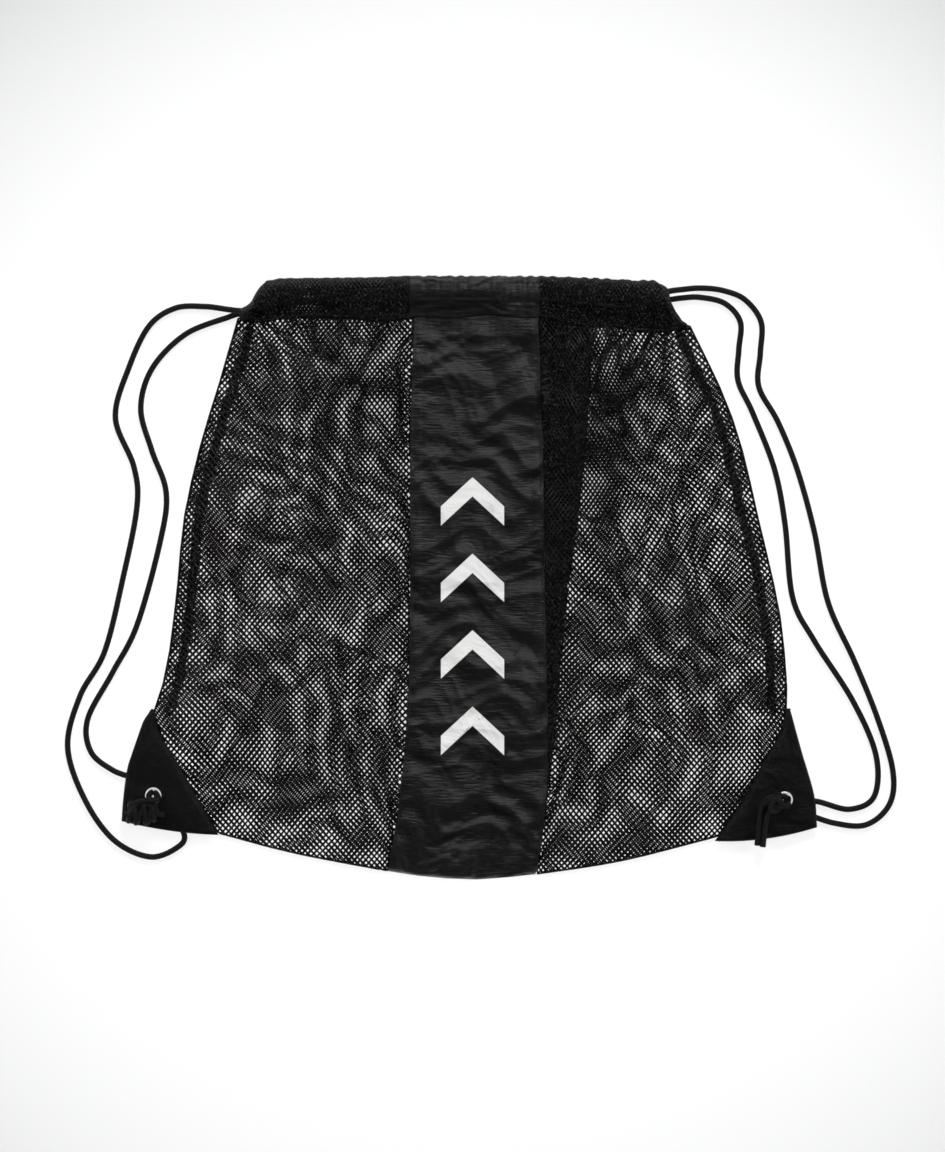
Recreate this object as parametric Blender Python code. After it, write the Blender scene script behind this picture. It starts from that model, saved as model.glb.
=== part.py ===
"""A mesh drawstring backpack lying flat, front up, with its mouth towards +Y.

The bag is two faces of netting with a woven strip down the middle of each. The faces are one
cloth folded at the bottom. At the mouth each face is turned over into a hem, the casing. Two
drawcords run through both casings: each leaves the mouth at its own side, lies loose beside the
bag as a shoulder strap, and is tied in an eyelet in the bottom corner of the same side.
Sizes are in metres. Z = 0 is the surface that the bag lies on.
"""

import math

import bmesh
import bpy
from mathutils import Vector

MM = 0.001

# Driving dimensions.
CLOTH = 1.2 * MM            # thickness of one face of the bag
GAP = 0.3 * MM              # clearance between neighbouring solids
CORD_DIAMETER = 3.8 * MM
CORD_SPACING = 10.0 * MM    # distance between the points of a cord's tube
FILL_HEIGHT = 9.6 * MM      # how far the front face stands off the back face in the middle
SIDE_ROUND = 20.0 * MM      # how fast the front face rises from the side edges
BOTTOM_ROUND = 25.0 * MM    # how fast it rises from the bottom fold
CASING_Y = 182.5 * MM       # centre line of the casings
CASING_DROP = 5.0 * MM      # how far the centre line sinks towards the right end
CASING_TALL = 27.0 * MM
CASING_THICK = 6.4 * MM
CASING_WALL = 0.8 * MM
CASING_LEFT = -121.0 * MM
CASING_RIGHT = 106.0 * MM
CASING_MIDDLE = -5.5 * MM
MOUTH_LIFT = 12.0 * MM      # underside of the front casing in the middle of the mouth
MOUTH_DIP = 2.6 * MM        # how much lower it lies at the ends
STRIP_LEFT = -38.0 * MM     # edges of the woven strip at the casings
STRIP_RIGHT = 44.5 * MM
SEAM_INSET = 9.0 * MM       # centre of the side seam, in from the edge
SEAM_WIDTH = 5.6 * MM
SEAM_THICK = 0.9 * MM
PATCH_BOTTOM = 5.2 * MM     # the corner patches lie over the cords
PATCH_THICK = 2.0 * MM
EYELET_LEFT = (-205.0 * MM, -141.4 * MM)
EYELET_RIGHT = (204.4 * MM, -144.0 * MM)
EYELET_HOLE = 4.3 * MM      # radius inside the barrel
EYELET_BARREL = 4.7 * MM    # radius outside the barrel
EYELET_FLANGE = 5.7 * MM    # radius of the flange and of the washer
FLANGE_THICK = 0.8 * MM
WASHER_THICK = 0.6 * MM
KNOT_STEM = 3.8 * MM        # radius of the two cords together in the eyelet

# Outlines in millimetres, from the mouth down to the bottom corner.
LEFT_EDGE = [(-150, 169), (-163.5, 122), (-174, 88), (-185, 39), (-190, -11), (-197, -62), (-206, -86)]
RIGHT_EDGE = [(143, 163.7), (164.5, 119), (177, 83), (187.5, 38), (197, -2), (203, -35), (207, -85)]
LEFT_DIAGONAL = [(-206, -86), (-203, -100), (-191, -120), (-178, -143), (-163, -166)]
RIGHT_DIAGONAL = [(207, -85), (203, -101.5), (192, -120), (180, -141), (161.5, -168)]
LEFT_CORNER = [(-207, -87), (-213, -97), (-222, -124.5), (-225.5, -158), (-187, -166), (-164, -167)]
RIGHT_CORNER = [(208, -86), (215, -111), (223.6, -141), (225.5, -162), (192, -170), (162.5, -169)]
LEFT_BOTTOM = [(-163, -166), (-113, -179), (-53, -190.5)]
STRIP_BOTTOM = [(-53, -190.5), (-29, -194), (6, -196), (43.6, -192.5)]
RIGHT_BOTTOM = [(43.6, -192.5), (98, -184), (161.5, -168)]
FRONT_STRIP_LEFT = [(-36, 169), (-38.5, 86), (-39, -53), (-44.5, -135), (-53, -190.5)]
FRONT_STRIP_RIGHT = [(44.5, 169), (47.6, 86), (49, -15), (51, -128), (43.6, -192.5)]
BACK_STRIP_LEFT = [(-4, 169), (-12, 74), (-20, -30), (-38, -130), (-53, -190.5)]
BACK_STRIP_RIGHT = [(80, 169), (74, 74), (61, -30), (53, -119), (43.6, -192.5)]

# Routes of the drawcords in millimetres: from the eyelet up the outer strand, through the front
# casing, round the far end of the mouth, through the back casing and down the inner strand.
LEFT_OUTER = [
    (-203.3, -143.9, 2.1), (-197, -152, 2.1), (-186, -165, 2.1), (-188, -174, 2.1),
    (-207, -181.5, 2.1), (-231, -170.5, 2.1), (-250, -144, 2.1), (-261, -110, 2.1),
    (-253, -77, 2.1), (-237, -48, 2.1), (-225, 0, 2.1), (-216, 46, 2.1), (-218, 72, 2.1),
    (-230, 104, 2.1), (-221, 137, 2.1), (-208, 163.5, 2.1), (-191, 175, 2.1), (-172, 176, 2.9),
    (-157, 174, 5.2), (-148.5, 173, 6.8), (-140, 173.8, 8.9), (-131, 175.4, 11.2), (-121, 177.8, 12.8),
]
LEFT_LOOP = [
    (-100, 179.9, 13.5), (-60, 179.9, 14.6), (-20, 179.9, 15.2), (20, 179.9, 15.1), (60, 179.3, 14.4),
    (92, 176.4, 13.4), (106, 176, 12.8), (118, 176, 11.6), (126.5, 170, 8), (118, 163.8, 4.5),
    (106, 168.6, 3.3), (92, 174, 3.2), (60, 179.3, 3.2), (20, 179.9, 3.2), (-20, 179.9, 3.2),
    (-60, 179.9, 3.2), (-100, 179.9, 3.2), (-110, 178.6, 3.2), (-121, 176, 3.2),
]
LEFT_INNER = [
    (-131, 173.6, 2.8), (-140, 172.4, 2.3), (-148.5, 171.6, 2.1), (-157, 169, 2.1), (-184.5, 158, 2.1),
    (-206, 136, 2.1), (-213.5, 110, 2.1), (-206.5, 83, 2.1), (-197, 55, 2.1), (-201, 23, 2.1),
    (-216, -31, 2.1), (-232, -62, 2.1), (-248, -92, 2.1), (-246, -113, 2.1), (-232, -125, 2.1),
    (-217, -131, 2.1), (-207, -138.9, 2.1),
]
RIGHT_OUTER = [
    (206.5, -146.4, 2.1), (217, -152.5, 2.1), (237, -159.5, 2.1), (258, -160.5, 2.1), (273, -147, 2.1),
    (275, -125, 2.1), (265, -91, 2.1), (250, -54, 2.1), (233, -16, 2.1), (224, 30, 2.1),
    (213, 70, 2.1), (200.5, 101, 2.1), (188, 124, 2.1), (189, 146, 2.1), (189.5, 166, 2.1),
    (179, 180.5, 2.1), (164.5, 186.5, 2.1), (150, 187.9, 4), (138, 186.8, 6.8), (129, 185.4, 9.4),
    (118, 182.9, 11.8), (106, 181.4, 12.8),
]
RIGHT_LOOP = [
    (92, 181.6, 13.4), (60, 184.5, 14.4), (20, 185.1, 15.1), (-20, 185.1, 15.2), (-60, 185.1, 14.6),
    (-100, 185.1, 13.5), (-121, 187.2, 12.8), (-130, 187.2, 11), (-134.8, 183, 8), (-130, 179.4, 5.2),
    (-121, 180.7, 3.3), (-110, 184, 3.2), (-100, 185.1, 3.2), (-60, 185.1, 3.2), (-20, 185.1, 3.2),
    (20, 185.1, 3.2), (60, 184.5, 3.2), (92, 181.6, 3.2), (106, 180.2, 3.2),
]
RIGHT_INNER = [
    (118, 179.8, 3), (129, 180.4, 2.5), (138, 181.6, 2.2), (150, 182, 2.1), (166, 178, 2.1),
    (176, 166, 2.1), (175, 148, 2.1), (174.5, 128, 2.1), (184, 107, 2.1), (198, 71, 2.1),
    (205, 35, 2.1), (210, -13, 2.1), (224, -41, 2.1), (249, -80, 2.1), (264, -115, 2.1),
    (263, -142, 2.1), (247, -150.5, 2.1), (226, -145.5, 2.1), (209.5, -144.2, 2.1),
]


def clear_scene():
    for item in list(bpy.data.objects):
        bpy.data.objects.remove(item, do_unlink=True)


def material(name, colour, roughness, metallic=0.0):
    made = bpy.data.materials.new(name)
    made.use_nodes = True
    shader = made.node_tree.nodes["Principled BSDF"]
    shader.inputs["Base Color"].default_value = (*colour, 1.0)
    shader.inputs["Roughness"].default_value = roughness
    shader.inputs["Metallic"].default_value = metallic
    return made


def new_object(name, mesh, finish):
    made = bpy.data.objects.new(name, mesh)
    bpy.context.scene.collection.objects.link(made)
    mesh.materials.append(finish)
    return made


# ---------------------------------------------------------------- smooth lines

def smooth_line(route, steps=12):
    """Points along a Catmull-Rom curve through the route, which is in millimetres."""
    points = [Vector(p) * MM for p in route]
    points = [2 * points[0] - points[1], *points, 2 * points[-1] - points[-2]]
    line = []
    for a, b, c, d in zip(points, points[1:], points[2:], points[3:]):
        for step in range(steps):
            t = step / steps
            line.append(
                0.5 * (2 * b + (c - a) * t + (2 * a - 5 * b + 4 * c - d) * t**2
                       + (3 * b - a - 3 * c + d) * t**3)
            )
    line.append(points[-2])
    return line


def distances(line):
    """How far along the line each of its points is."""
    along = [0.0]
    for a, b in zip(line, line[1:]):
        along.append(along[-1] + (b - a).length)
    return along


def spread(line, count, start=0.0, end=0.0):
    """So many evenly spaced points on the line, leaving out a length at its start and its end."""
    along = distances(line)
    span = along[-1] - start - end
    found = []
    index = 0
    for i in range(count):
        at = start + span * i / (count - 1)
        while index < len(line) - 2 and along[index + 1] < at:
            index += 1
        t = (at - along[index]) / max(along[index + 1] - along[index], 1e-9)
        found.append(line[index].lerp(line[index + 1], t))
    return found


def line_length(line):
    return distances(line)[-1]


def x_at(line, y):
    """X where a line that runs from top to bottom passes a height Y."""
    for a, b in zip(line, line[1:]):
        if b.y <= y <= a.y:
            return a.x + (b.x - a.x) * (a.y - y) / max(a.y - b.y, 1e-9)
    return line[0].x if y > line[0].y else line[-1].x


# ---------------------------------------------------------------- cloth faces

def boundary(corner_points):
    return smooth_line([(x, y, 0) for x, y in corner_points])


left_side = boundary(LEFT_EDGE) + boundary(LEFT_DIAGONAL)[1:]
right_side = boundary(RIGHT_EDGE) + boundary(RIGHT_DIAGONAL)[1:]
bottom_fold = boundary(LEFT_BOTTOM) + boundary(STRIP_BOTTOM)[1:] + boundary(RIGHT_BOTTOM)[1:]


def nearest(line, point):
    return min((p - point).length for p in line)


def front_underside(x, y):
    """Height of the inner side of the front face: flat at the edges and filled out in the middle."""
    place = Vector((x, y, 0))
    side = min(nearest(left_side, place), nearest(right_side, place))
    bottom = nearest(bottom_fold, place)
    rise = (1 - math.exp(-side / SIDE_ROUND)) * (1 - math.exp(-bottom / BOTTOM_ROUND))
    return CLOTH + GAP + FILL_HEIGHT * rise


def back_underside(x, y):
    return 0.0


def four_sided(left, right, top, bottom, columns, rows):
    """A grid of places inside four boundary lines. left and right run down, top and bottom to +X."""
    left = spread(left, rows + 1)
    right = spread(right, rows + 1)
    top = spread(top, columns + 1)
    bottom = spread(bottom, columns + 1)
    grid = []
    for j in range(rows + 1):
        v = j / rows
        row = []
        for i in range(columns + 1):
            u = i / columns
            across = left[j].lerp(right[j], u)
            down = top[i].lerp(bottom[i], v)
            corners = top[0].lerp(top[-1], u).lerp(bottom[0].lerp(bottom[-1], u), v)
            row.append(across + down - corners)
        grid.append(row)
    return grid


def slab(name, grid, underside, thick, finish):
    """A closed sheet of even thickness over a grid of places."""
    rows = len(grid)
    columns = len(grid[0])
    mesh = bpy.data.meshes.new(name)
    shape = bmesh.new()
    layers = []
    for rise in (0.0, thick):
        layers.append(
            [[shape.verts.new((p.x, p.y, underside(p.x, p.y) + rise)) for p in row] for row in grid]
        )
    low, high = layers
    for j in range(rows - 1):
        for i in range(columns - 1):
            shape.faces.new((high[j][i], high[j + 1][i], high[j + 1][i + 1], high[j][i + 1]))
            shape.faces.new((low[j][i], low[j][i + 1], low[j + 1][i + 1], low[j + 1][i]))
    rim = [(0, i) for i in range(columns - 1)]
    rim += [(j, columns - 1) for j in range(rows - 1)]
    rim += [(rows - 1, i) for i in range(columns - 1, 0, -1)]
    rim += [(j, 0) for j in range(rows - 1, 0, -1)]
    for (j, i), (k, m) in zip(rim, rim[1:] + rim[:1]):
        shape.faces.new((low[j][i], high[j][i], high[k][m], low[k][m]))
    bmesh.ops.recalc_face_normals(shape, faces=shape.faces)
    shape.to_mesh(mesh)
    shape.free()
    return new_object(name, mesh, finish)


def shifted(line, dx):
    return [p + Vector((dx, 0, 0)) for p in line]


def casing_y(x):
    t = min(max((x - 40 * MM) / (75 * MM), 0.0), 1.0)
    return CASING_Y - CASING_DROP * t * t * (3 - 2 * t)


def hem_point(x):
    """Where the seam that closes the casing passes an X."""
    return Vector((x, casing_y(x) - CASING_TALL / 2 - GAP, 0))


def hem(start_x, end_x):
    return [hem_point(start_x + (end_x - start_x) * i / 8) for i in range(9)]


def make_face(side, strip_left_points, strip_right_points, underside, netting, woven):
    """One face of the bag: netting, the woven strip, netting."""
    strip_left = boundary(strip_left_points)
    strip_right = boundary(strip_right_points)
    seam = GAP / 2
    parts = [
        ("mesh_left", left_side, shifted(strip_left, -seam), boundary(LEFT_BOTTOM), 9, 16, netting),
        ("strip", shifted(strip_left, seam), shifted(strip_right, -seam), boundary(STRIP_BOTTOM), 5, 16,
         woven),
        ("mesh_right", shifted(strip_right, seam), right_side, boundary(RIGHT_BOTTOM), 9, 16, netting),
    ]
    for name, left, right, bottom, columns, rows, finish in parts:
        left = [hem_point(left[0].x), *left[1:]]
        right = [hem_point(right[0].x), *right[1:]]
        bottom = [left[-1], *bottom[1:-1], right[-1]]
        grid = four_sided(left, right, hem(left[0].x, right[0].x), bottom, columns, rows)
        slab(f"{side}_{name}", grid, underside, CLOTH, finish)


def make_side_seam(name, edge, inwards, finish):
    """The overlocked allowance of a side seam, a band that lies inside the bag near the edge."""
    rows = 14
    top = hem_point(edge[0].x).y - 10 * MM
    bottom = -72 * MM
    grid = []
    for j in range(rows + 1):
        y = top + (bottom - top) * j / rows
        x = x_at(edge, y) + inwards * SEAM_INSET
        half = SEAM_WIDTH / 2
        grid.append([Vector((x - half, y, 0)), Vector((x, y, 0)), Vector((x + half, y, 0))])
    slab(name, grid, lambda x, y: CLOTH + GAP, SEAM_THICK, finish)


# ---------------------------------------------------------------- casings

def front_casing_z(x):
    return MOUTH_LIFT - MOUTH_DIP * ((x - CASING_MIDDLE) / (119 * MM)) ** 2


def back_casing_z(x):
    return 0.0


def rounded_section(wide, tall, corner):
    """A rounded rectangle about the origin, as (across, up) pairs."""
    section = []
    for quarter in range(4):
        sign_x = 1 if quarter in (0, 3) else -1
        sign_y = 1 if quarter in (0, 1) else -1
        for step in range(4):
            angle = math.pi / 2 * (quarter + step / 3)
            section.append(
                (sign_x * (wide / 2 - corner) + corner * math.cos(angle),
                 sign_y * (tall / 2 - corner) + corner * math.sin(angle))
            )
    return section


def make_casing(name, start, end, bottom_z, finish):
    """A length of the hem at the mouth: a flat tube that the cords run through, open at both ends."""
    outer = rounded_section(CASING_TALL, CASING_THICK, 3.0 * MM)
    inner = rounded_section(CASING_TALL - 2 * CASING_WALL, CASING_THICK - 2 * CASING_WALL, 2.2 * MM)
    stations = 4
    mesh = bpy.data.meshes.new(name)
    shape = bmesh.new()
    rings = []
    for k in range(stations + 1):
        x = start + (end - start) * k / stations
        y = casing_y(x)
        z = bottom_z(x) + CASING_THICK / 2
        rings.append(
            [[shape.verts.new((x, y + a, z + b)) for a, b in section] for section in (outer, inner)]
        )
    count = len(outer)
    for (outer_a, inner_a), (outer_b, inner_b) in zip(rings, rings[1:]):
        for i in range(count):
            j = (i + 1) % count
            shape.faces.new((outer_a[i], outer_a[j], outer_b[j], outer_b[i]))
            shape.faces.new((inner_a[j], inner_a[i], inner_b[i], inner_b[j]))
    for outer_ring, inner_ring in (rings[0], rings[-1]):
        for i in range(count):
            j = (i + 1) % count
            shape.faces.new((outer_ring[i], inner_ring[i], inner_ring[j], outer_ring[j]))
    bmesh.ops.recalc_face_normals(shape, faces=shape.faces)
    shape.to_mesh(mesh)
    shape.free()
    return new_object(name, mesh, finish)


# ---------------------------------------------------------------- corner patches and eyelets

def cut(target, cutter):
    cutter.hide_render = True
    cutter.display_type = "WIRE"
    change = target.modifiers.new("cut", "BOOLEAN")
    change.operation = "DIFFERENCE"
    change.object = cutter


def cylinder(name, centre, radius, bottom, top, sides=24):
    mesh = bpy.data.meshes.new(name)
    shape = bmesh.new()
    bmesh.ops.create_cone(
        shape, cap_ends=True, segments=sides, radius1=radius, radius2=radius, depth=top - bottom
    )
    bmesh.ops.translate(shape, verts=shape.verts, vec=(*centre, (top + bottom) / 2))
    shape.to_mesh(mesh)
    shape.free()
    made = bpy.data.objects.new(name, mesh)
    bpy.context.scene.collection.objects.link(made)
    return made


def make_patch(name, corner, diagonal, inwards, eyelet, finish):
    """The woven patch on a bottom corner, up to its slanting seam, with the eyelet's hole."""
    outline = [Vector((x * MM, y * MM, 0)) for x, y in corner]
    seam = spread(shifted(boundary(diagonal), -inwards * 2 * GAP), 8)
    outline += list(reversed(seam))[1:-1]
    mesh = bpy.data.meshes.new(name)
    shape = bmesh.new()
    low = [shape.verts.new((p.x, p.y, PATCH_BOTTOM)) for p in outline]
    high = [shape.verts.new((p.x, p.y, PATCH_BOTTOM + PATCH_THICK)) for p in outline]
    shape.faces.new(low)
    shape.faces.new(high)
    for i in range(len(outline)):
        j = (i + 1) % len(outline)
        shape.faces.new((low[i], low[j], high[j], high[i]))
    bmesh.ops.recalc_face_normals(shape, faces=shape.faces)
    shape.to_mesh(mesh)
    shape.free()
    patch = new_object(name, mesh, finish)
    hole = cylinder(
        name + "_hole", eyelet, EYELET_BARREL + GAP, PATCH_BOTTOM - CLOTH, PATCH_BOTTOM + 2 * PATCH_THICK
    )
    cut(patch, hole)


def turned(name, centre, profile, finish, sides=32):
    """A ring turned about a vertical axis from a closed profile of (radius, height) pairs."""
    mesh = bpy.data.meshes.new(name)
    shape = bmesh.new()
    rings = []
    for k in range(sides):
        angle = 2 * math.pi * k / sides
        rings.append(
            [shape.verts.new((centre[0] + r * math.cos(angle), centre[1] + r * math.sin(angle), z))
             for r, z in profile]
        )
    for here, there in zip(rings, rings[1:] + rings[:1]):
        for i in range(len(profile)):
            j = (i + 1) % len(profile)
            shape.faces.new((here[i], here[j], there[j], there[i]))
    bmesh.ops.recalc_face_normals(shape, faces=shape.faces)
    shape.to_mesh(mesh)
    shape.free()
    made = new_object(name, mesh, finish)
    made.data.shade_smooth()
    made.data.set_sharp_from_angle(angle=math.radians(40))
    return made


def make_eyelet(side, centre, finish):
    """A two-part eyelet: the barrel with its flange on the front, and the washer behind."""
    washer_bottom = PATCH_BOTTOM - GAP - WASHER_THICK
    flange_bottom = PATCH_BOTTOM + PATCH_THICK + GAP
    flange_top = flange_bottom + FLANGE_THICK
    round_off = 0.3 * MM
    turned(
        f"eyelet_{side}",
        centre,
        [
            (EYELET_HOLE, washer_bottom), (EYELET_BARREL, washer_bottom), (EYELET_BARREL, flange_bottom),
            (EYELET_FLANGE, flange_bottom), (EYELET_FLANGE, flange_top - round_off),
            (EYELET_FLANGE - round_off, flange_top), (EYELET_HOLE + round_off, flange_top),
            (EYELET_HOLE, flange_top - round_off),
        ],
        finish,
    )
    washer_hole = EYELET_BARREL + GAP
    turned(
        f"eyelet_washer_{side}",
        centre,
        [
            (washer_hole, washer_bottom), (EYELET_FLANGE, washer_bottom),
            (EYELET_FLANGE, washer_bottom + WASHER_THICK), (washer_hole, washer_bottom + WASHER_THICK),
        ],
        finish,
    )


# ---------------------------------------------------------------- cords and knots

def tube(name, line, finish, parent):
    """A round cord along a line, as a curve with a bevel and closed ends."""
    origin = parent.location
    curve = bpy.data.curves.new(name, "CURVE")
    curve.dimensions = "3D"
    curve.bevel_depth = CORD_DIAMETER / 2
    curve.bevel_resolution = 2
    curve.use_fill_caps = True
    spline = curve.splines.new("POLY")
    spline.points.add(len(line) - 1)
    for place, point in zip(spline.points, line):
        place.co = (*(point - origin), 1.0)
    curve.materials.append(finish)
    made = bpy.data.objects.new(name, curve)
    bpy.context.scene.collection.objects.link(made)
    made.parent = parent
    return made


def make_drawcord(side, outer, loop, inner, finish):
    """One drawcord, in three lengths that meet end to end: outer strand, casing loop, inner strand."""
    whole = smooth_line(outer + loop + inner)
    steps = 12
    first = (len(outer) - 1) * steps
    second = (len(outer) + len(loop) - 1) * steps
    pieces = [
        (f"{side}_outer_strand", whole[: first + 1], 0.0, GAP / 2),
        (f"{side}_casing_loop", whole[first : second + 1], GAP / 2, GAP / 2),
        (f"{side}_inner_strand", whole[second:], GAP / 2, 0.0),
    ]
    parent = bpy.data.objects.new(f"{side}_drawcord_slide", None)
    parent.location = whole[first]
    bpy.context.scene.collection.objects.link(parent)
    bpy.context.view_layer.update()
    for name, line, start, end in pieces:
        count = math.ceil(line_length(line) / CORD_SPACING) + 1
        tube(name, spread(line, count, start, end), finish, parent)


def ellipsoid(name, centre, radii):
    mesh = bpy.data.meshes.new(name)
    shape = bmesh.new()
    bmesh.ops.create_uvsphere(shape, u_segments=16, v_segments=10, radius=1.0)
    for vertex in shape.verts:
        vertex.co = [c + r * v for c, r, v in zip(centre, radii, vertex.co)]
    shape.to_mesh(mesh)
    shape.free()
    made = bpy.data.objects.new(name, mesh)
    bpy.context.scene.collection.objects.link(made)
    return made


def join(target, other):
    other.hide_render = True
    other.display_type = "WIRE"
    change = target.modifiers.new("join", "BOOLEAN")
    change.operation = "UNION"
    change.object = other


def make_knot(side, eyelet, lump_centre, lump_radii, tail, finish):
    """The stopper knot on the front of an eyelet, its stem through the hole, and its cut ends."""
    top_of_flange = PATCH_BOTTOM + PATCH_THICK + GAP + FLANGE_THICK
    knot = ellipsoid(f"{side}_knot", lump_centre, lump_radii)
    knot.data.materials.append(finish)
    knot.data.shade_smooth()
    stem_bottom = CORD_DIAMETER + 0.2 * MM + 2 * GAP
    join(knot, cylinder(f"{side}_knot_stem", eyelet, KNOT_STEM, stem_bottom, top_of_flange + 3 * MM, 16))
    start, end, lift = tail
    mesh = bpy.data.meshes.new(f"{side}_knot_tail")
    shape = bmesh.new()
    along = Vector((*end, lift)) - Vector((*start, lift))
    bmesh.ops.create_cone(
        shape, cap_ends=True, segments=16, radius1=CORD_DIAMETER / 2, radius2=CORD_DIAMETER / 2,
        depth=along.length
    )
    across = Vector((1.9, 1.0, 1.0))
    bmesh.ops.scale(shape, verts=shape.verts, vec=across)
    turn = along.to_track_quat("Z", "Y").to_matrix()
    bmesh.ops.rotate(shape, verts=shape.verts, cent=(0, 0, 0), matrix=turn)
    bmesh.ops.translate(shape, verts=shape.verts, vec=(Vector((*start, lift)) + Vector((*end, lift))) / 2)
    shape.to_mesh(mesh)
    shape.free()
    ends = bpy.data.objects.new(f"{side}_knot_tail", mesh)
    bpy.context.scene.collection.objects.link(ends)
    join(knot, ends)


clear_scene()
netting = material("black netting", (0.012, 0.012, 0.013), 0.65)
woven = material("black woven nylon", (0.020, 0.020, 0.021), 0.50)
braid = material("black braided cord", (0.014, 0.014, 0.014), 0.80)
nickel = material("bright nickel", (0.80, 0.80, 0.78), 0.20, 1.0)

make_face("front", FRONT_STRIP_LEFT, FRONT_STRIP_RIGHT, front_underside, netting, woven)
make_face("back", BACK_STRIP_LEFT, BACK_STRIP_RIGHT, back_underside, netting, woven)
make_side_seam("side_seam_left", boundary(LEFT_EDGE), 1, netting)
make_side_seam("side_seam_right", boundary(RIGHT_EDGE), -1, netting)

for face, bottom_z in (("front", front_casing_z), ("back", back_casing_z)):
    for part, start, end, finish in (
        ("left", CASING_LEFT, STRIP_LEFT - GAP / 2, netting),
        ("middle", STRIP_LEFT + GAP / 2, STRIP_RIGHT - GAP / 2, woven),
        ("right", STRIP_RIGHT + GAP / 2, CASING_RIGHT, netting),
    ):
        make_casing(f"{face}_casing_{part}", start, end, bottom_z, finish)

make_patch("corner_patch_left", LEFT_CORNER, LEFT_DIAGONAL, 1, EYELET_LEFT, woven)
make_patch("corner_patch_right", RIGHT_CORNER, RIGHT_DIAGONAL, -1, EYELET_RIGHT, woven)
make_eyelet("left", EYELET_LEFT, nickel)
make_eyelet("right", EYELET_RIGHT, nickel)

make_drawcord("left", LEFT_OUTER, LEFT_LOOP, LEFT_INNER, braid)
make_drawcord("right", RIGHT_OUTER, RIGHT_LOOP, RIGHT_INNER, braid)
make_knot(
    "left", EYELET_LEFT, (-0.2065, -0.1500, 0.0126), (0.0140, 0.0090, 0.0040),
    ((-0.1980, -0.1560), (-0.2160, -0.1565), 0.0118), braid,
)
make_knot(
    "right", EYELET_RIGHT, (0.1985, -0.1465, 0.0122), (0.0115, 0.0065, 0.0036),
    ((0.1915, -0.1440), (0.1885, -0.1740), 0.0112), braid,
)
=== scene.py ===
"""A mesh drawstring backpack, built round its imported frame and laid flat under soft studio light."""
import math

import bmesh
import bpy
import numpy as np
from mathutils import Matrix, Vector
from mathutils.bvhtree import BVHTree
from mathutils.kdtree import KDTree


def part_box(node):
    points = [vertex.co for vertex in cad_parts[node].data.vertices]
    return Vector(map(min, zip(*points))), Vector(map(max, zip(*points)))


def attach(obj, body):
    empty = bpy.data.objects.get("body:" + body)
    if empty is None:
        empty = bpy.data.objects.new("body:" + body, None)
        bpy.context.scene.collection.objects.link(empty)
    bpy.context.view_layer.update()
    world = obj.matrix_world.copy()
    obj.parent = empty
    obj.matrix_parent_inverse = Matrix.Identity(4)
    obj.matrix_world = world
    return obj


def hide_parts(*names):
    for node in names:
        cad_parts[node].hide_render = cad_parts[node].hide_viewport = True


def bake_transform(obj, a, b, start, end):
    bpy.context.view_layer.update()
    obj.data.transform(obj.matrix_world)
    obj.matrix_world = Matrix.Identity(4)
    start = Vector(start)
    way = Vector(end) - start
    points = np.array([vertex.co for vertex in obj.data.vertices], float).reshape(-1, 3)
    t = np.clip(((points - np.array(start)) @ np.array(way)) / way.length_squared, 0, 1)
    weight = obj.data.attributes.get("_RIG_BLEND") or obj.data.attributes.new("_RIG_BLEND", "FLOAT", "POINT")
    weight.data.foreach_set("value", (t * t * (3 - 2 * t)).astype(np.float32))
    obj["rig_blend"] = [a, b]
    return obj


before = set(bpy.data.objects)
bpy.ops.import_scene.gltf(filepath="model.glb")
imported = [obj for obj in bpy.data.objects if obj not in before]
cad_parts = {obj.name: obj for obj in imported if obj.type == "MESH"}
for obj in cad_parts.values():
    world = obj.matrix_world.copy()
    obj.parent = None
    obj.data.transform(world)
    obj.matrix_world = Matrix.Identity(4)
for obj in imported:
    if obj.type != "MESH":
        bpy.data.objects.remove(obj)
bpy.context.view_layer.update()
MM = 0.001
scene = bpy.context.scene
scene.view_settings.view_transform = "Standard"


# ---------------------------------------------------------------- studio
# A pale floor under four soft boxes round it and a small one straight overhead, which lights the
# openings of the net right through. The camera looks straight down on the bag.

def add_object(name, data):
    made = bpy.data.objects.new(name, data)
    scene.collection.objects.link(made)
    return made


def new_mesh(name, points, faces, finish=None, edges=()):
    mesh = bpy.data.meshes.new(name)
    mesh.from_pydata(np.asarray(points).reshape(-1, 3).tolist(), list(edges), list(faces))
    if finish:
        mesh.shade_smooth()
        mesh.materials.append(finish)
    return mesh


def flat_square(name, half, z):
    corners = [(-half, -half, z), (half, -half, z), (half, half, z), (-half, half, z)]
    return add_object(name, new_mesh(name, corners, [(0, 1, 2, 3)]))


def shader_of(material):
    return material.node_tree.nodes["Principled BSDF"]


def plain_material(name, colour, roughness, metallic=0.0, shine=0.5):
    made = bpy.data.materials.new(name)
    made.use_nodes = True
    shader = shader_of(made)
    shader.inputs["Base Color"].default_value = (*colour, 1.0)
    shader.inputs["Roughness"].default_value = roughness
    shader.inputs["Metallic"].default_value = metallic
    shader.inputs["Specular IOR Level"].default_value = shine
    return made


CAMERA_HEIGHT = 2.6
VIEW_TALL = 0.749           # what the picture's height spans on the floor
VIEW_CENTRE = (0.0020, 0.0010)

camera_data = bpy.data.cameras.new("camera")
camera_data.sensor_fit = "VERTICAL"
camera_data.angle = 2 * math.atan(VIEW_TALL / 2 / CAMERA_HEIGHT)
camera = add_object("camera", camera_data)
camera.location = (*VIEW_CENTRE, CAMERA_HEIGHT)
scene.camera = camera

FLOOR_HALF = 4.0
floor = flat_square("floor", FLOOR_HALF, 0.0)
floor_finish = plain_material("pale floor", (0.86, 0.86, 0.86), 0.75)
floor.data.materials.append(floor_finish)

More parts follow.
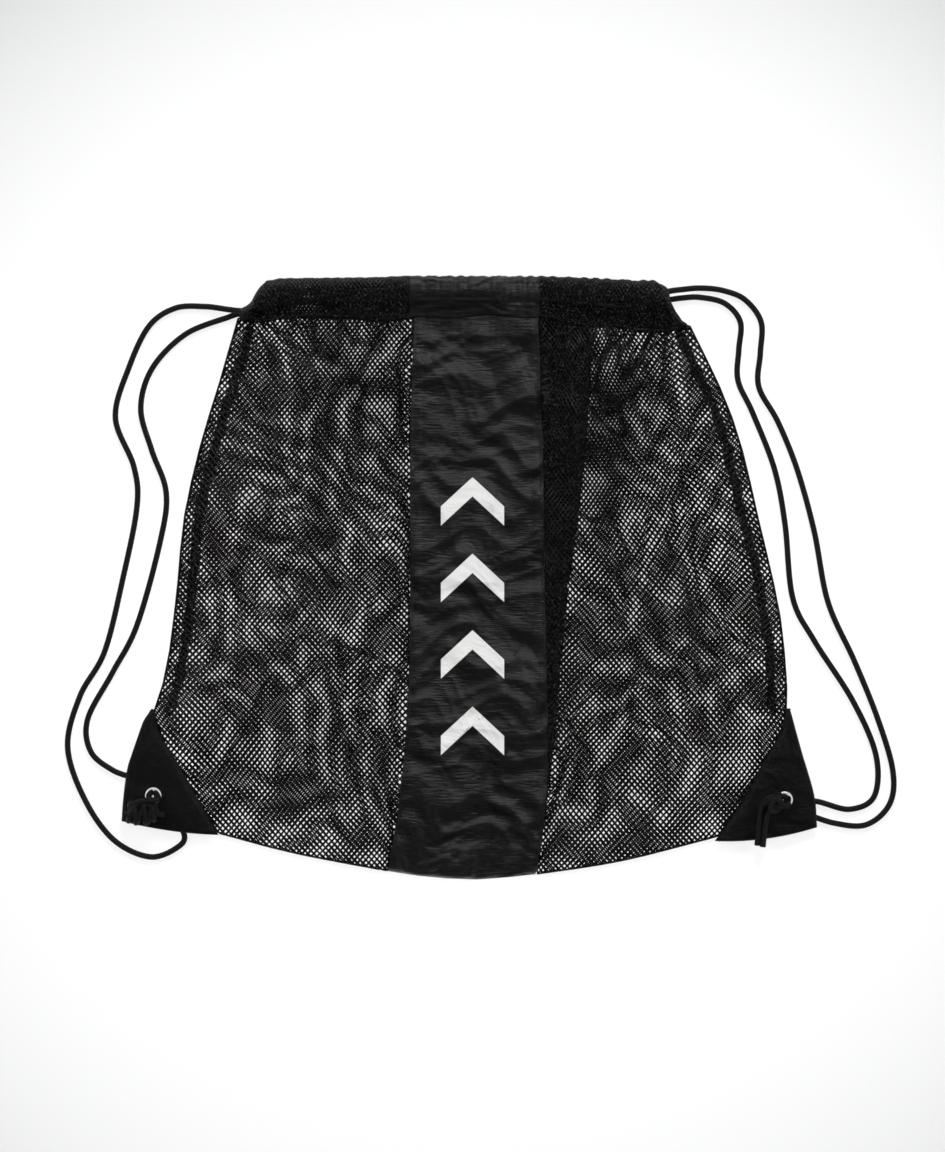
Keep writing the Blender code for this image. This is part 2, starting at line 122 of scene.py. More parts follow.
world = bpy.data.worlds.new("studio air")
world.use_nodes = True
air = world.node_tree.nodes["Background"].inputs
air["Color"].default_value = (0.97, 0.98, 1.0, 1.0)
air["Strength"].default_value = 0.03
scene.world = world


def soft_box(name, place, size, power, glossy=True):
    data = bpy.data.lights.new(name, "AREA")
    data.shape = "SQUARE"
    data.size = size
    data.energy = power
    lamp = add_object(name, data)
    lamp.location = place
    lamp.rotation_euler = (-Vector(place)).to_track_quat("-Z", "Y").to_euler()
    lamp.visible_glossy = glossy


soft_box("left soft box", (-2.0, 0.7, 1.7), 0.9, 6)
soft_box("right soft box", (2.0, 0.7, 1.7), 0.9, 6)
soft_box("far soft box", (0.3, 2.2, 1.7), 0.9, 20)
soft_box("near soft box", (0.0, -2.1, 1.9), 1.2, 2)
soft_box("overhead soft box", (0.0, 0.0, 2.9), 0.34, 84, glossy=False)


def node(tree, kind, links=(), **settings):
    """A new node with its settings, and its inputs set or linked by name or number."""
    made = tree.nodes.new(kind)
    for key, value in settings.items():
        setattr(made, key, value)
    for key, value in dict(links).items():
        if isinstance(value, bpy.types.NodeSocket):
            tree.links.new(value, made.inputs[key])
        else:
            made.inputs[key].default_value = value
    return made


def math_node(tree, operation, a, b=None, kind="ShaderNodeMath"):
    links = {0: a} if b is None else {0: a, 1: b}
    return node(tree, kind, links, operation=operation).outputs[0]


def mixed_colour(material, factor, dark, light):
    """The base colour, between two colours by a factor."""
    tree = material.node_tree
    ends = {0: factor, 6: (*dark, 1.0), 7: (*light, 1.0)}
    mix = node(tree, "ShaderNodeMix", ends, data_type="RGBA")
    tree.links.new(mix.outputs[2], shader_of(material).inputs["Base Color"])


def object_place(tree):
    return node(tree, "ShaderNodeTexCoord").outputs["Object"]


# Painted shade: the floor's colour is painted darker away from the bag, a vignette that stands in for the
# light falling off.
PAINTED_SHADE_CENTRE = (0.0, -0.05, 0.0)
PAINTED_SHADE_RATE = 1.75            # per metre
PAINTED_SHADE_POWER = 4.0
floor_tree = floor_finish.node_tree
away = node(
    floor_tree, "ShaderNodeVectorMath", {0: object_place(floor_tree), 1: PAINTED_SHADE_CENTRE}, operation="DISTANCE"
).outputs["Value"]
painted_shade = math_node(floor_tree, "POWER", math_node(floor_tree, "MULTIPLY", away, PAINTED_SHADE_RATE), PAINTED_SHADE_POWER)
mixed_colour(floor_finish, painted_shade, (0.87, 0.87, 0.87), (0.47, 0.475, 0.48))


# ---------------------------------------------------------------- drawcords
# Two round braided polyester cords, one for each shoulder. Each is knotted in its corner eyelet,
# runs up beside the bag, through both casings of the mouth and back down to the same eyelet.

CORD_DIAMETER = 3.8 * MM
CORD_STEP = 0.6 * MM        # distance between the rings of the tube
CORD_SIDES = 20
BRAID_STRANDS = 5           # bumps round the cord
BRAID_PITCH = 3.0 * MM
BRAID_DEPTH = 0.05          # share of the radius
BRAID_FUZZ = 2200.0         # grain of the yarn, per metre

# The routes are in millimetres. A point without a height lies on the floor.
CORD_REST = 2.1             # height of the cord's middle there
LEFT_ROUTE = [
    (-203.5, -139.6, 7.8), (-203.1, -140.8, 4.6), (-202.4, -144.0), (-197, -152), (-186, -165), (-188, -174),
    (-207, -181.5), (-231, -170.5), (-250, -144), (-261, -110), (-253, -77), (-237, -48), (-225, 0),
    (-216, 46), (-218, 72), (-230, 104), (-221, 137), (-208, 163.5), (-191, 175), (-172, 176, 2.9),
    (-157, 174, 5.2), (-148.5, 173, 6.8), (-140, 173.8, 8.9), (-131, 175.4, 11.2), (-121, 177.8, 12.8),
    (-100, 179.9, 13.5), (-60, 179.9, 14.6), (-20, 179.9, 15.2), (20, 179.9, 15.1), (60, 179.3, 14.4),
    (92, 176.4, 13.4), (106, 176, 12.8), (118, 176, 11.6), (126.5, 170, 8), (118, 163.8, 4.5),
    (106, 168.6, 3.3), (92, 174, 3.2), (60, 179.3, 3.2), (20, 179.9, 3.2), (-20, 179.9, 3.2),
    (-60, 179.9, 3.2), (-100, 179.9, 3.2), (-110, 178.6, 3.2), (-121, 176, 3.2), (-131, 173.6, 2.8),
    (-140, 172.4, 2.3), (-148.5, 171.6), (-157, 169), (-184.5, 158), (-206, 136), (-213.5, 110), (-206.5, 83),
    (-197, 55), (-201, 23), (-216, -31), (-232, -62), (-248, -92), (-246, -113), (-232, -125), (-217, -131),
    (-208.4, -138.4), (-206.7, -139.4, 4.6), (-206.5, -139.6, 7.8),
]
RIGHT_ROUTE = [
    (204.6, -145.9, 7.8), (205.0, -146.1, 4.6), (207.0, -147.0), (217, -152.5), (237, -159.5), (258, -160.5),
    (273, -147), (275, -125), (265, -91), (250, -54), (233, -16), (224, 30), (213, 70), (200.5, 101),
    (188, 124), (189, 146), (189.5, 166), (179, 180.5), (164.5, 186.5), (150, 187.9, 4), (138, 186.8, 6.8),
    (129, 185.4, 9.4), (118, 182.9, 11.8), (106, 181.4, 12.8), (92, 181.6, 13.4), (60, 184.5, 14.4),
    (20, 185.1, 15.1), (-20, 185.1, 15.2), (-60, 185.1, 14.6), (-100, 185.1, 13.5), (-121, 187.2, 12.8),
    (-130, 187.2, 11), (-134.8, 183, 8), (-130, 179.4, 5.2), (-121, 180.7, 3.3), (-110, 184, 3.2),
    (-100, 185.1, 3.2), (-60, 185.1, 3.2), (-20, 185.1, 3.2), (20, 185.1, 3.2), (60, 184.5, 3.2),
    (92, 181.6, 3.2), (106, 180.2, 3.2), (118, 179.8, 3), (129, 180.4, 2.5), (138, 181.6, 2.2), (150, 182),
    (166, 178), (176, 166), (175, 148), (174.5, 128), (184, 107), (198, 71), (205, 35), (210, -13),
    (224, -41), (249, -80), (264, -115), (263, -142), (247, -150.5), (226, -145.5), (209.5, -144.2),
    (205.2, -142.6, 4.6), (204.6, -142.1, 7.8),
]


def smooth_line(route, steps=24):
    """Points in metres along a Catmull-Rom curve through the route, which is in millimetres."""
    p = np.array(route, float) * MM
    p = np.vstack([2 * p[0] - p[1], p, 2 * p[-1] - p[-2]])
    t = (np.arange(steps) / steps)[:, None]
    line = [
        0.5 * (2 * b + (c - a) * t + (2 * a - 5 * b + 4 * c - d) * t**2 + (3 * b - a - 3 * c + d) * t**3)
        for a, b, c, d in zip(p, p[1:], p[2:], p[3:])
    ]
    return np.vstack([*line, p[-2]])


def along_line(line):
    return np.concatenate([[0], np.cumsum(np.linalg.norm(np.diff(line, axis=0), axis=1))])


def spread(line, spacing):
    """The line again, with points at an even spacing."""
    far = along_line(line)
    at = np.linspace(0, far[-1], max(int(round(far[-1] / spacing)), 1) + 1)
    return np.stack([np.interp(at, far, line[:, i]) for i in range(3)], 1)


def carried_frames(line):
    """Two unit directions across the line at each point, carried along it without twist."""
    tangent = np.gradient(line, axis=0)
    tangent /= np.linalg.norm(tangent, axis=1, keepdims=True)
    side = np.cross(tangent[0], (0.0, 0.0, 1.0) if abs(tangent[0][2]) < 0.9 else (1.0, 0.0, 0.0))
    across = []
    for direction in tangent:
        side = side - direction * side.dot(direction)
        side /= np.linalg.norm(side)
        across.append(side)
    across = np.array(across)
    return across, np.cross(tangent, across)


def quads_of(index):
    """Faces over a grid of vertex numbers."""
    return np.stack([index[:-1, :-1], index[:-1, 1:], index[1:, 1:], index[1:, :-1]], -1).reshape(-1, 4)


def tube_mesh(name, line, radius_at, sides, finish):
    """A closed tube along a line. radius_at(around, along) gives the radius; its UV map runs with it."""
    across, upward = carried_frames(line)
    far = along_line(line)
    angle = 2 * np.pi * np.arange(sides) / sides
    radius = radius_at(angle[None, :], far[:, None]) * np.ones((len(line), sides))
    ring = (
        line[:, None]
        + across[:, None] * (radius * np.cos(angle))[..., None]
        + upward[:, None] * (radius * np.sin(angle))[..., None]
    )
    points = np.vstack([ring.reshape(-1, 3), line[0], line[-1]])
    rows = len(line)
    index = np.arange(rows * sides).reshape(rows, sides)
    faces = quads_of(np.hstack([index, index[:, :1]])).tolist()
    first, last = rows * sides, rows * sides + 1
    faces += [((i + 1) % sides, i, first) for i in range(sides)]
    faces += [(last - 1 - sides + i, last - 1 - sides + (i + 1) % sides, last) for i in range(sides)]
    mesh = new_mesh(name, points, faces, finish)
    uv = mesh.uv_layers.new(name="run").data
    corner = np.empty(len(mesh.loops), np.int64)
    mesh.loops.foreach_get("vertex_index", corner)
    row = np.minimum(corner // sides, rows - 1)
    turn = (corner % sides) / sides
    on_walls = 4 * sides * (rows - 1)
    wrapped = turn[:on_walls].reshape(-1, 4)
    wrapped[(wrapped.max(1) - wrapped.min(1) > 0.5)[:, None] & (wrapped < 0.5)] += 1.0
    turn[:on_walls] = wrapped.reshape(-1)
    uv.foreach_set("uv", np.stack([turn, far[row] / BRAID_PITCH], 1).astype(np.float32).ravel())
    return mesh


def braid_radius(around, along):
    """The radius of the cord, which stands out where a strand of the braid passes over."""
    turn = BRAID_STRANDS * around / 2
    run = np.pi * along / BRAID_PITCH
    bump = np.abs(np.sin(turn + run) * np.sin(turn - run))
    return CORD_DIAMETER / 2 * (1 - BRAID_DEPTH + BRAID_DEPTH * np.sqrt(bump))


def add_bump(material, height, strength, distance):
    tree = material.node_tree
    bump = node(tree, "ShaderNodeBump", {"Strength": strength, "Distance": distance, "Height": height})
    tree.links.new(bump.outputs["Normal"], shader_of(material).inputs["Normal"])


def noise_height(tree, vector, scale, detail=3.0):
    look = {"Scale": scale, "Detail": detail, "Vector": vector}
    return node(tree, "ShaderNodeTexNoise", look).outputs["Fac"]


def braid_material():
    """Matte black polyester yarn, braided: the strands cross in two directions and are a little fuzzy. Its
    colour holds a painted highlight on the crowns of the strands, over a random fuzzy tone.
    """
    made = plain_material("black braided cord", (0.006, 0.006, 0.006), 0.6, shine=0.25)
    tree = made.node_tree
    uv = node(tree, "ShaderNodeUVMap", uv_map="run").outputs["UV"]
    split = node(tree, "ShaderNodeSeparateXYZ", {0: uv}).outputs
    turn = math_node(tree, "MULTIPLY", split["X"], 2 * math.pi * BRAID_STRANDS)
    run = math_node(tree, "MULTIPLY", split["Y"], 2 * math.pi)
    one_way, other_way = (
        math_node(tree, "SINE", math_node(tree, operation, turn, run)) for operation in ("ADD", "SUBTRACT")
    )
    yarns = math_node(tree, "MULTIPLY", one_way, other_way)
    fuzz = noise_height(tree, object_place(tree), BRAID_FUZZ)
    add_bump(made, math_node(tree, "ADD", math_node(tree, "MULTIPLY", yarns, 0.35), fuzz), 0.6, 0.0004)
    # Painted highlight: the base colour is lighter where a strand of the braid passes over, times the random
    # fuzz of the yarn.
    lit = math_node(tree, "ADD", math_node(tree, "MULTIPLY", yarns, 0.5), 0.5)
    mixed_colour(made, math_node(tree, "MULTIPLY", fuzz, lit), (0.0015, 0.0015, 0.0015), (0.02, 0.02, 0.021))
    return made


cord_finish = braid_material()


def make_drawcord(side, route):
    line = spread(smooth_line([(*point, CORD_REST)[:3] for point in route]), CORD_STEP)
    mesh = tube_mesh(f"{side}_drawcord", line, braid_radius, CORD_SIDES, cord_finish)
    return add_object(f"{side}_drawcord_braid", mesh), line


for side, route in (("left", LEFT_ROUTE), ("right", RIGHT_ROUTE)):
    cord, cord_line = make_drawcord(side, route)
    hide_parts(f"{side}_outer_strand", f"{side}_casing_loop", f"{side}_inner_strand")
    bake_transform(cord, "bag", f"{side}_drawcord", start=(0.0, -0.125, 0.0), end=(0.0, 0.160, 0.0))


# ---------------------------------------------------------------- the lie of the cloth
# The front and back faces lie one on the other, loosely creased. The front one's height follows the
# frame's own front face, evened out, with soft folds and the small gathers below the drawn mouth.

FIELD_STEP = 2.0 * MM
FIELD_LOW = (-0.240, -0.204)
FIELD_COUNT = (241, 201)


def surface_of(*things):
    """A search tree over the faces of things, for rays."""
    points = []
    faces = []
    for thing in things:
        start = len(points)
        points += [v.co.copy() for v in thing.data.vertices]
        faces += [[start + i for i in p.vertices] for p in thing.data.polygons]
    return BVHTree.FromPolygons(points, faces)


def hit_below(surface, x, y, start=0.2):
    """Where a ray straight down meets the surface first, or None."""
    return surface.ray_cast(Vector((x, y, start)), Vector((0, 0, -1)))[0]


def grid_places():
    x = FIELD_LOW[0] + FIELD_STEP * np.arange(FIELD_COUNT[0])
    y = FIELD_LOW[1] + FIELD_STEP * np.arange(FIELD_COUNT[1])
    return np.meshgrid(x, y, indexing="ij")


def height_grid(nodes, evened):
    """Heights of the nodes' upper side on the grid, carried on past their edges and evened out."""
    found = surface_of(*(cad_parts[name] for name in nodes))
    xs, ys = grid_places()
    z = np.full(xs.shape, np.nan)
    for i, j in np.ndindex(xs.shape):
        hit = hit_below(found, xs[i, j], ys[i, j], 0.5)
        if hit is not None:
            z[i, j] = hit.z
    known = KDTree(int(np.isfinite(z).sum()))
    cells = np.argwhere(np.isfinite(z))
    for n, (i, j) in enumerate(cells):
        known.insert((xs[i, j], ys[i, j], 0), n)
    known.balance()
    for i, j in np.argwhere(~np.isfinite(z)):
        n = known.find((xs[i, j], ys[i, j], 0))[1]
        z[i, j] = z[tuple(cells[n])]
    for _ in range(evened):
        wide = np.pad(z, 1, mode="edge")
        z = (wide[:-2, 1:-1] + wide[2:, 1:-1] + wide[1:-1, :-2] + wide[1:-1, 2:] + 2 * z) / 6
    return z


def read_grid(grid, x, y):
    """The grid's value at any places, by interpolation."""
    u = np.clip((np.asarray(x) - FIELD_LOW[0]) / FIELD_STEP, 0, FIELD_COUNT[0] - 1.001)
    v = np.clip((np.asarray(y) - FIELD_LOW[1]) / FIELD_STEP, 0, FIELD_COUNT[1] - 1.001)
    i, j = u.astype(int), v.astype(int)
    u, v = u - i, v - j
    return (
        grid[i, j] * (1 - u) * (1 - v) + grid[i + 1, j] * u * (1 - v)
        + grid[i, j + 1] * (1 - u) * v + grid[i + 1, j + 1] * u * v
    )


def waves(x, y, seed, count, shortest, longest, heading=0.0, spread_angle=math.pi):
    """A sum of even waves of mixed length and direction, about 1 high."""
    draw = np.random.default_rng(seed)
    total = 0.0
    for _ in range(count):
        length = shortest * (longest / shortest) ** draw.random()
        angle = heading + (draw.random() - 0.5) * spread_angle
        phase = 2 * math.pi * draw.random()
        size = 0.6 + 0.8 * draw.random()
        total = total + size * np.sin(
            2 * math.pi / length * (np.cos(angle) * x + np.sin(angle) * y) + phase
        )
    return total / math.sqrt(count / 2)


def creases(x, y, seed, count, shortest, longest, heading=0.0, spread_angle=math.pi):
    """Sharp-edged creases of mixed length and direction, about 1 high."""
    draw = np.random.default_rng(seed)
    bent_x = x + 6 * MM * waves(x, y, seed + 1, 5, 35 * MM, 90 * MM)
    bent_y = y + 6 * MM * waves(x, y, seed + 2, 5, 35 * MM, 90 * MM)
    total = 0.0
    for _ in range(count):
        length = shortest * (longest / shortest) ** draw.random()
        angle = heading + (draw.random() - 0.5) * spread_angle
        run = np.pi / length * (np.cos(angle) * bent_x + np.sin(angle) * bent_y) + math.pi * draw.random()
        total = total + (0.6 + 0.8 * draw.random()) * (0.64 - np.abs(np.sin(run)))
    return total / math.sqrt(count / 2)


def smooth_step(t):
    t = np.clip(t, 0, 1)
    return t * t * (3 - 2 * t)


FRONT_NODES = ("front_mesh_left", "front_strip", "front_mesh_right")
front_grid = height_grid(FRONT_NODES, 8)
HALF_CLOTH = 0.6 * MM
EDGE_Z = 2.1 * MM           # middle of the front face at the edges, just over the back face
MOUTH_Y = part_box("front_mesh_left")[1].y
GATHER_FADE = 22 * MM
LEFT_EXIT = (-146 * MM, 174 * MM)
RIGHT_EXIT = (129 * MM, 181 * MM)


def front_fill(x, y):
    """0 at the edges of the bag, 1 where it is fullest."""
    return np.clip((read_grid(front_grid, x, y) - HALF_CLOTH - EDGE_Z) / (9.2 * MM), 0, 1)


def pucker(x):
    """The small upright folds of the gathered mouth, from -1 to 1."""
    wander = 1.6 * np.sin(2 * np.pi * x / (41 * MM)) + 0.9 * np.sin(2 * np.pi * x / (67 * MM) + 1.0)
    first = np.sin(2 * np.pi * x / (8.9 * MM) + wander)
    second = np.sin(2 * np.pi * x / (5.7 * MM) - 1.4 * wander)
    return 0.62 * first + 0.38 * second


def pucker_size(x):
    """How deep the small folds are: deepest over the woven strip and towards the right end."""
    return np.interp(x, [-150 * MM, -60 * MM, -36 * MM, 45 * MM, 125 * MM], [0.5, 0.5, 1.1, 1.0, 1.2]) * MM


def mouth_folds(x, y):
    """Folds that hang from the gathered mouth and die out below it."""
    below = np.clip(MOUTH_Y - y, 0, None)
    near = np.exp(-below / GATHER_FADE)
    lean = x + 0.25 * below * np.sin(x / (50 * MM))
    coarse = np.sin(2 * np.pi * lean / (25 * MM) + 1.3 * np.sin(x / (23 * MM)))
    stiff = np.interp(x, [-50 * MM, -38 * MM, 47 * MM, 58 * MM], [1, 0.3, 0.3, 1])
    return stiff * pucker_size(x) * (near * pucker(lean) + 0.9 * np.exp(-below / (3 * GATHER_FADE)) * coarse)


def fan_folds(x, y, centre, count, reach):
    """Folds that fan out from a point where a cord pulls."""
    dx, dy = x - centre[0], y - centre[1]
    far = np.hypot(dx, dy)
    turn = np.arctan2(dy, dx)
    near = np.exp(-far / reach) * smooth_step(far / (30 * MM))
    return near * np.sin(count * turn + 2.0 * np.sin(far / (40 * MM)))


def front_height(x, y):
    """Middle of the front cloth."""
    base = read_grid(front_grid, x, y) - HALF_CLOTH
    fill = front_fill(x, y)
    folds = 1.3 * MM * waves(x, y, 11, 9, 42 * MM, 110 * MM)
    folds = folds + 0.3 * MM * waves(x, y, 12, 9, 18 * MM, 36 * MM, 0.2, 1.6)
    folds = folds - 1.5 * MM * creases(x, y, 14, 6, 34 * MM, 90 * MM, 0.3, 1.9)
    pulled = fan_folds(x, y, RIGHT_EXIT, 17, 75 * MM) + 0.7 * fan_folds(x, y, LEFT_EXIT, 15, 60 * MM)
    return base + fill * (folds + mouth_folds(x, y) + 2.6 * MM * pulled)


def back_height(x, y):
    """Middle of the back cloth, which lies on the floor but for a few low folds."""
    fill = front_fill(x, y)
    folds = waves(x, y, 21, 9, 30 * MM, 90 * MM) - 0.2 - 0.6 * creases(x, y, 24, 6, 30 * MM, 80 * MM)
    return HALF_CLOTH + fill * (np.clip(folds, 0, 1.8) * 1.1 * MM)


# As a drawcord is pulled it draws in the far end of the mouth. The cloth on that side follows it, from
# none at the strip and the bottom corner to all the way at the end of the mouth.
MOUTH_PULL = {
    "left": ("right_drawcord", (-0.0360, 0.195, 0.010), (-0.1072, 0.2381, 0.010)),
    "right": ("left_drawcord", (0.0445, 0.195, 0.010), (0.1046, 0.2299, 0.010)),
}


def move_with_mouth(piece, side):
    cord, start, end = MOUTH_PULL[side]
    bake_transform(piece, "bag", cord, start=start, end=end)


# ---------------------------------------------------------------- netting
# Four side panels of knitted polyester net with diamond holes, two to a face. The net is one thread
# lattice laid on the creased cloth, cut to the panel and caught in the seams at its edges.

NET_PITCH = 2.75 * MM
NET_WIDTH = 1.10 * MM
NET_THICK = 0.50 * MM
NET_DRIFT = 1.1 * MM        # how far the lattice wanders from straight
NET_TUG = 0.24 * MM         # how far small tugs move it
NET_BUNCH = 4.2 * MM        # how much it slides together into the valleys of the folds
NET_TALL = 1.06             # its diamonds hang a little taller than they are wide
NET_STEP = 2.5 * MM         # the cloth under it is known at points this far apart
NET_SPARE = 14 * MM         # and this far past the panel
PAINTED_GLINT_GRAIN = 700.0         # size of the patches of painted glints, per metre
PAINTED_GLINT_FROM = 0.54           # how much of the net they leave dark
PAINTED_GLINT_GAIN = 6.0
YARN_GRAIN = 3000.0


def cloth_guide(name, flat, places):
    """A hidden sheet: where each point of the flat cloth lies. Both arrays are rows x columns."""
    rows, columns = flat.shape[:2]
    index = np.arange(rows * columns).reshape(rows, columns)
    mesh = new_mesh(name, places, quads_of(index)[:, [0, 3, 2, 1]].tolist())
    mesh.attributes.new("flat", "FLOAT_VECTOR", "POINT").data.foreach_set(
        "vector", np.dstack([flat, np.zeros(flat.shape[:2])]).astype(np.float32).ravel()
    )
    return add_object(name, mesh)


def new_tree(name, **inputs):
    """A Geometry Nodes tree with named inputs, and its input sockets."""
    tree = bpy.data.node_groups.new(name, "GeometryNodeTree")
    tree.interface.new_socket("Geometry", in_out="INPUT", socket_type="NodeSocketGeometry")
    for label, kind in inputs.items():
        tree.interface.new_socket(label, in_out="INPUT", socket_type=f"NodeSocket{kind}")
    tree.interface.new_socket("Geometry", in_out="OUTPUT", socket_type="NodeSocketGeometry")
    return tree, tree.nodes.new("NodeGroupInput").outputs


def geo(tree, kind, links=(), **settings):
    """The first output of a new geometry node."""
    return node(tree, "GeometryNode" + kind, links, **settings).outputs[0]


def vector_node(tree, **parts):
    return node(tree, "ShaderNodeCombineXYZ", parts).outputs[0]


def object_shape(tree, thing):
    return node(tree, "GeometryNodeObjectInfo", {"Object": thing}).outputs["Geometry"]


def close_tree(tree, shape, finish):
    """Ends a tree: instances are made real, shaded smooth and given their material."""
    shape = geo(tree, "RealizeInstances", {"Geometry": shape})
    shape = geo(tree, "SetShadeSmooth", {"Geometry": shape})
    shape = geo(tree, "SetMaterial", {"Geometry": shape, "Material": finish})
    tree.links.new(shape, tree.nodes.new("NodeGroupOutput").inputs[0])
    return tree


def settle(thing):
    """Gives a thing the mesh that its modifier makes, and takes the modifier away."""
    bpy.context.view_layer.update()
    made = bpy.data.meshes.new_from_object(thing.evaluated_get(bpy.context.evaluated_depsgraph_get()))
    thing.modifiers.clear()
    thing.data = made
    return made


def run_tree(name, tree, values):
    """Runs a tree on an empty mesh and returns its result as a plain mesh object."""
    host = add_object(name, bpy.data.meshes.new(name))
    change = host.modifiers.new("build", "NODES")
    change.node_group = tree
    for item in tree.interface.items_tree:
        if item.in_out == "INPUT" and item.name in values:
            change[item.identifier] = values[item.name]
    made = settle(host)
    made.name = name
    for extra in [a.name for a in made.attributes if a.name in ("family", "flat")]:
        made.attributes.remove(made.attributes[extra])
    return host


def net_tree():
    """A lattice of flat threads on a cloth guide, trimmed to a plan outline and gathered to its edge."""
    tree, get = new_tree(
        "net", Cloth="Object", Plan="Object", Edge="Object", Centre="Vector", Span="Float", Pitch="Float",
        Turn="Float", Width="Float", Thickness="Float", Finish="Material",
    )
    cloth, plan, edge = (object_shape(tree, get[name]) for name in ("Cloth", "Plan", "Edge"))
    size, count = get["Span"], math_node(tree, "DIVIDE", get["Span"], get["Pitch"])
    grid = geo(tree, "MeshGrid", {"Size X": size, "Size Y": size, "Vertices X": count, "Vertices Y": count})
    ends = node(tree, "GeometryNodeInputMeshEdgeVertices").outputs
    step = math_node(tree, "ABSOLUTE", math_node(tree, "SUBTRACT", ends[0], ends[1]))
    lengthwise = math_node(tree, "LESS_THAN", step, 1.5)
    mark = {"Geometry": grid, "Name": "family", "Value": lengthwise}
    grid = geo(tree, "StoreNamedAttribute", mark, data_type="FLOAT", domain="EDGE")
    turn = vector_node(tree, Z=get["Turn"])
    grid = geo(tree, "Transform", {"Geometry": grid, "Translation": get["Centre"], "Rotation": turn})
    place = geo(tree, "InputPosition")
    flat = geo(tree, "InputNamedAttribute", {"Name": "flat"}, data_type="FLOAT_VECTOR")
    laid = node(tree, "GeometryNodeSampleUVSurface", {
        "Mesh": cloth, "Value": place, "Source UV Map": flat, "Sample UV": place,
    }, data_type="FLOAT_VECTOR").outputs
    # The flat place is read before the move, so what misses the cloth is marked first.
    off = math_node(tree, "NOT", laid["Is Valid"], kind="FunctionNodeBooleanMath")
    mark = {"Geometry": grid, "Name": "off", "Value": off}
    grid = geo(tree, "StoreNamedAttribute", mark, data_type="BOOLEAN", domain="POINT")
    grid = geo(tree, "SetPosition", {"Geometry": grid, "Position": laid["Value"]})
    missed = geo(tree, "InputNamedAttribute", {"Name": "off"}, data_type="BOOLEAN")
    grid = geo(tree, "DeleteGeometry", {"Geometry": grid, "Selection": missed}, domain="POINT")
    split = node(tree, "ShaderNodeSeparateXYZ", {0: place}).outputs
    above = vector_node(tree, X=split["X"], Y=split["Y"], Z=0.3)
    inside = geo(tree, "Raycast", {
        "Target Geometry": plan, "Source Position": above, "Ray Direction": (0, 0, -1), "Ray Length": 1.0,
    })
    outside = math_node(tree, "NOT", inside, kind="FunctionNodeBooleanMath")
    to_rim = {0: edge, "Sample Position": place}
    rim = node(tree, "GeometryNodeProximity", to_rim, target_element="EDGES").outputs
    reach = {"A": rim["Distance"], "B": get["Pitch"]}
    far = node(tree, "FunctionNodeCompare", reach, operation="GREATER_THAN").outputs[0]
    gone = math_node(tree, "AND", outside, far, kind="FunctionNodeBooleanMath")
    grid = geo(tree, "DeleteGeometry", {"Geometry": grid, "Selection": gone}, domain="POINT")
    grid = geo(tree, "SetPosition", {"Geometry": grid, "Selection": outside, "Position": rim["Position"]})
    ring = geo(tree, "CurvePrimitiveCircle", {"Resolution": 4, "Radius": 0.5})
    scale = vector_node(tree, X=get["Width"], Y=get["Thickness"], Z=1.0)
    profile = geo(tree, "Transform", {"Geometry": ring, "Scale": scale})
    family = geo(tree, "InputNamedAttribute", {"Name": "family"}, data_type="FLOAT")
    join = node(tree, "GeometryNodeJoinGeometry")
    for operation in ("LESS_THAN", "GREATER_THAN"):
        others = {"Geometry": grid, "Selection": math_node(tree, operation, family, 0.5)}
        threads = geo(tree, "DeleteGeometry", others, domain="EDGE", mode="EDGE_FACE")
        threads = geo(tree, "MeshToCurve", {"Mesh": threads})
        threads = geo(tree, "SetCurveNormal", {"Curve": threads}, mode="Z_UP")
        sweep = {"Curve": threads, "Profile Curve": profile, "Fill Caps": True}
        tree.links.new(geo(tree, "CurveToMesh", sweep), join.inputs[0])
    return close_tree(tree, join.outputs[0], get["Finish"])


net_builder = net_tree()


def net_material():
    """Black polyester yarn with a satin face, with glints painted into its base colour: light specks in
    patches here and there.
    """
    made = plain_material("black netting", (0.001, 0.001, 0.001), 0.26, shine=0.5)
    tree = made.node_tree
    place = object_place(tree)
    # Painted glints: specks of light base colour stand in for filaments catching the light.
    painted_glints = math_node(tree, "SUBTRACT", noise_height(tree, place, PAINTED_GLINT_GRAIN, 2.0), PAINTED_GLINT_FROM)
    painted_glints = math_node(tree, "MULTIPLY", painted_glints, PAINTED_GLINT_GAIN)
    mixed_colour(made, painted_glints, (0.0003, 0.0003, 0.0003), (0.034, 0.034, 0.034))
    add_bump(made, noise_height(tree, place, YARN_GRAIN), 0.4, 0.0002)
    return made


net_finish = net_material()


def rim_line(name):
    """The plan outline of a flat CAD node, in order: the edge of its underside."""
    shape = bmesh.new()
    shape.from_mesh(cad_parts[name].data)
    bmesh.ops.remove_doubles(shape, verts=shape.verts, dist=1e-6)
    shape.normal_update()
    beside = {}
    for e in shape.edges:
        if sum(f.normal.z < -0.4 for f in e.link_faces) == 1:
            a, b = (tuple(v.co) for v in e.verts)
            beside.setdefault(a, []).append(b)
            beside.setdefault(b, []).append(a)
    shape.free()
    loop = [min(beside)]
    last = None
    while len(loop) <= len(beside):
        onward = [p for p in beside[loop[-1]] if p != last]
        last = loop[-1]
        if onward[0] == loop[0]:
            break
        loop.append(onward[0])
    return np.array(loop)


def closed_line(loop):
    return np.vstack([loop, loop[:1]])


def edge_object(name, line):
    return add_object(name, new_mesh(name, line, [], edges=[(i, i + 1) for i in range(len(line) - 1)]))


def on_cloth(line, height):
    """The line again, lifted onto a cloth's height."""
    line = line.copy()
    line[:, 2] = height(line[:, 0], line[:, 1])
    return line


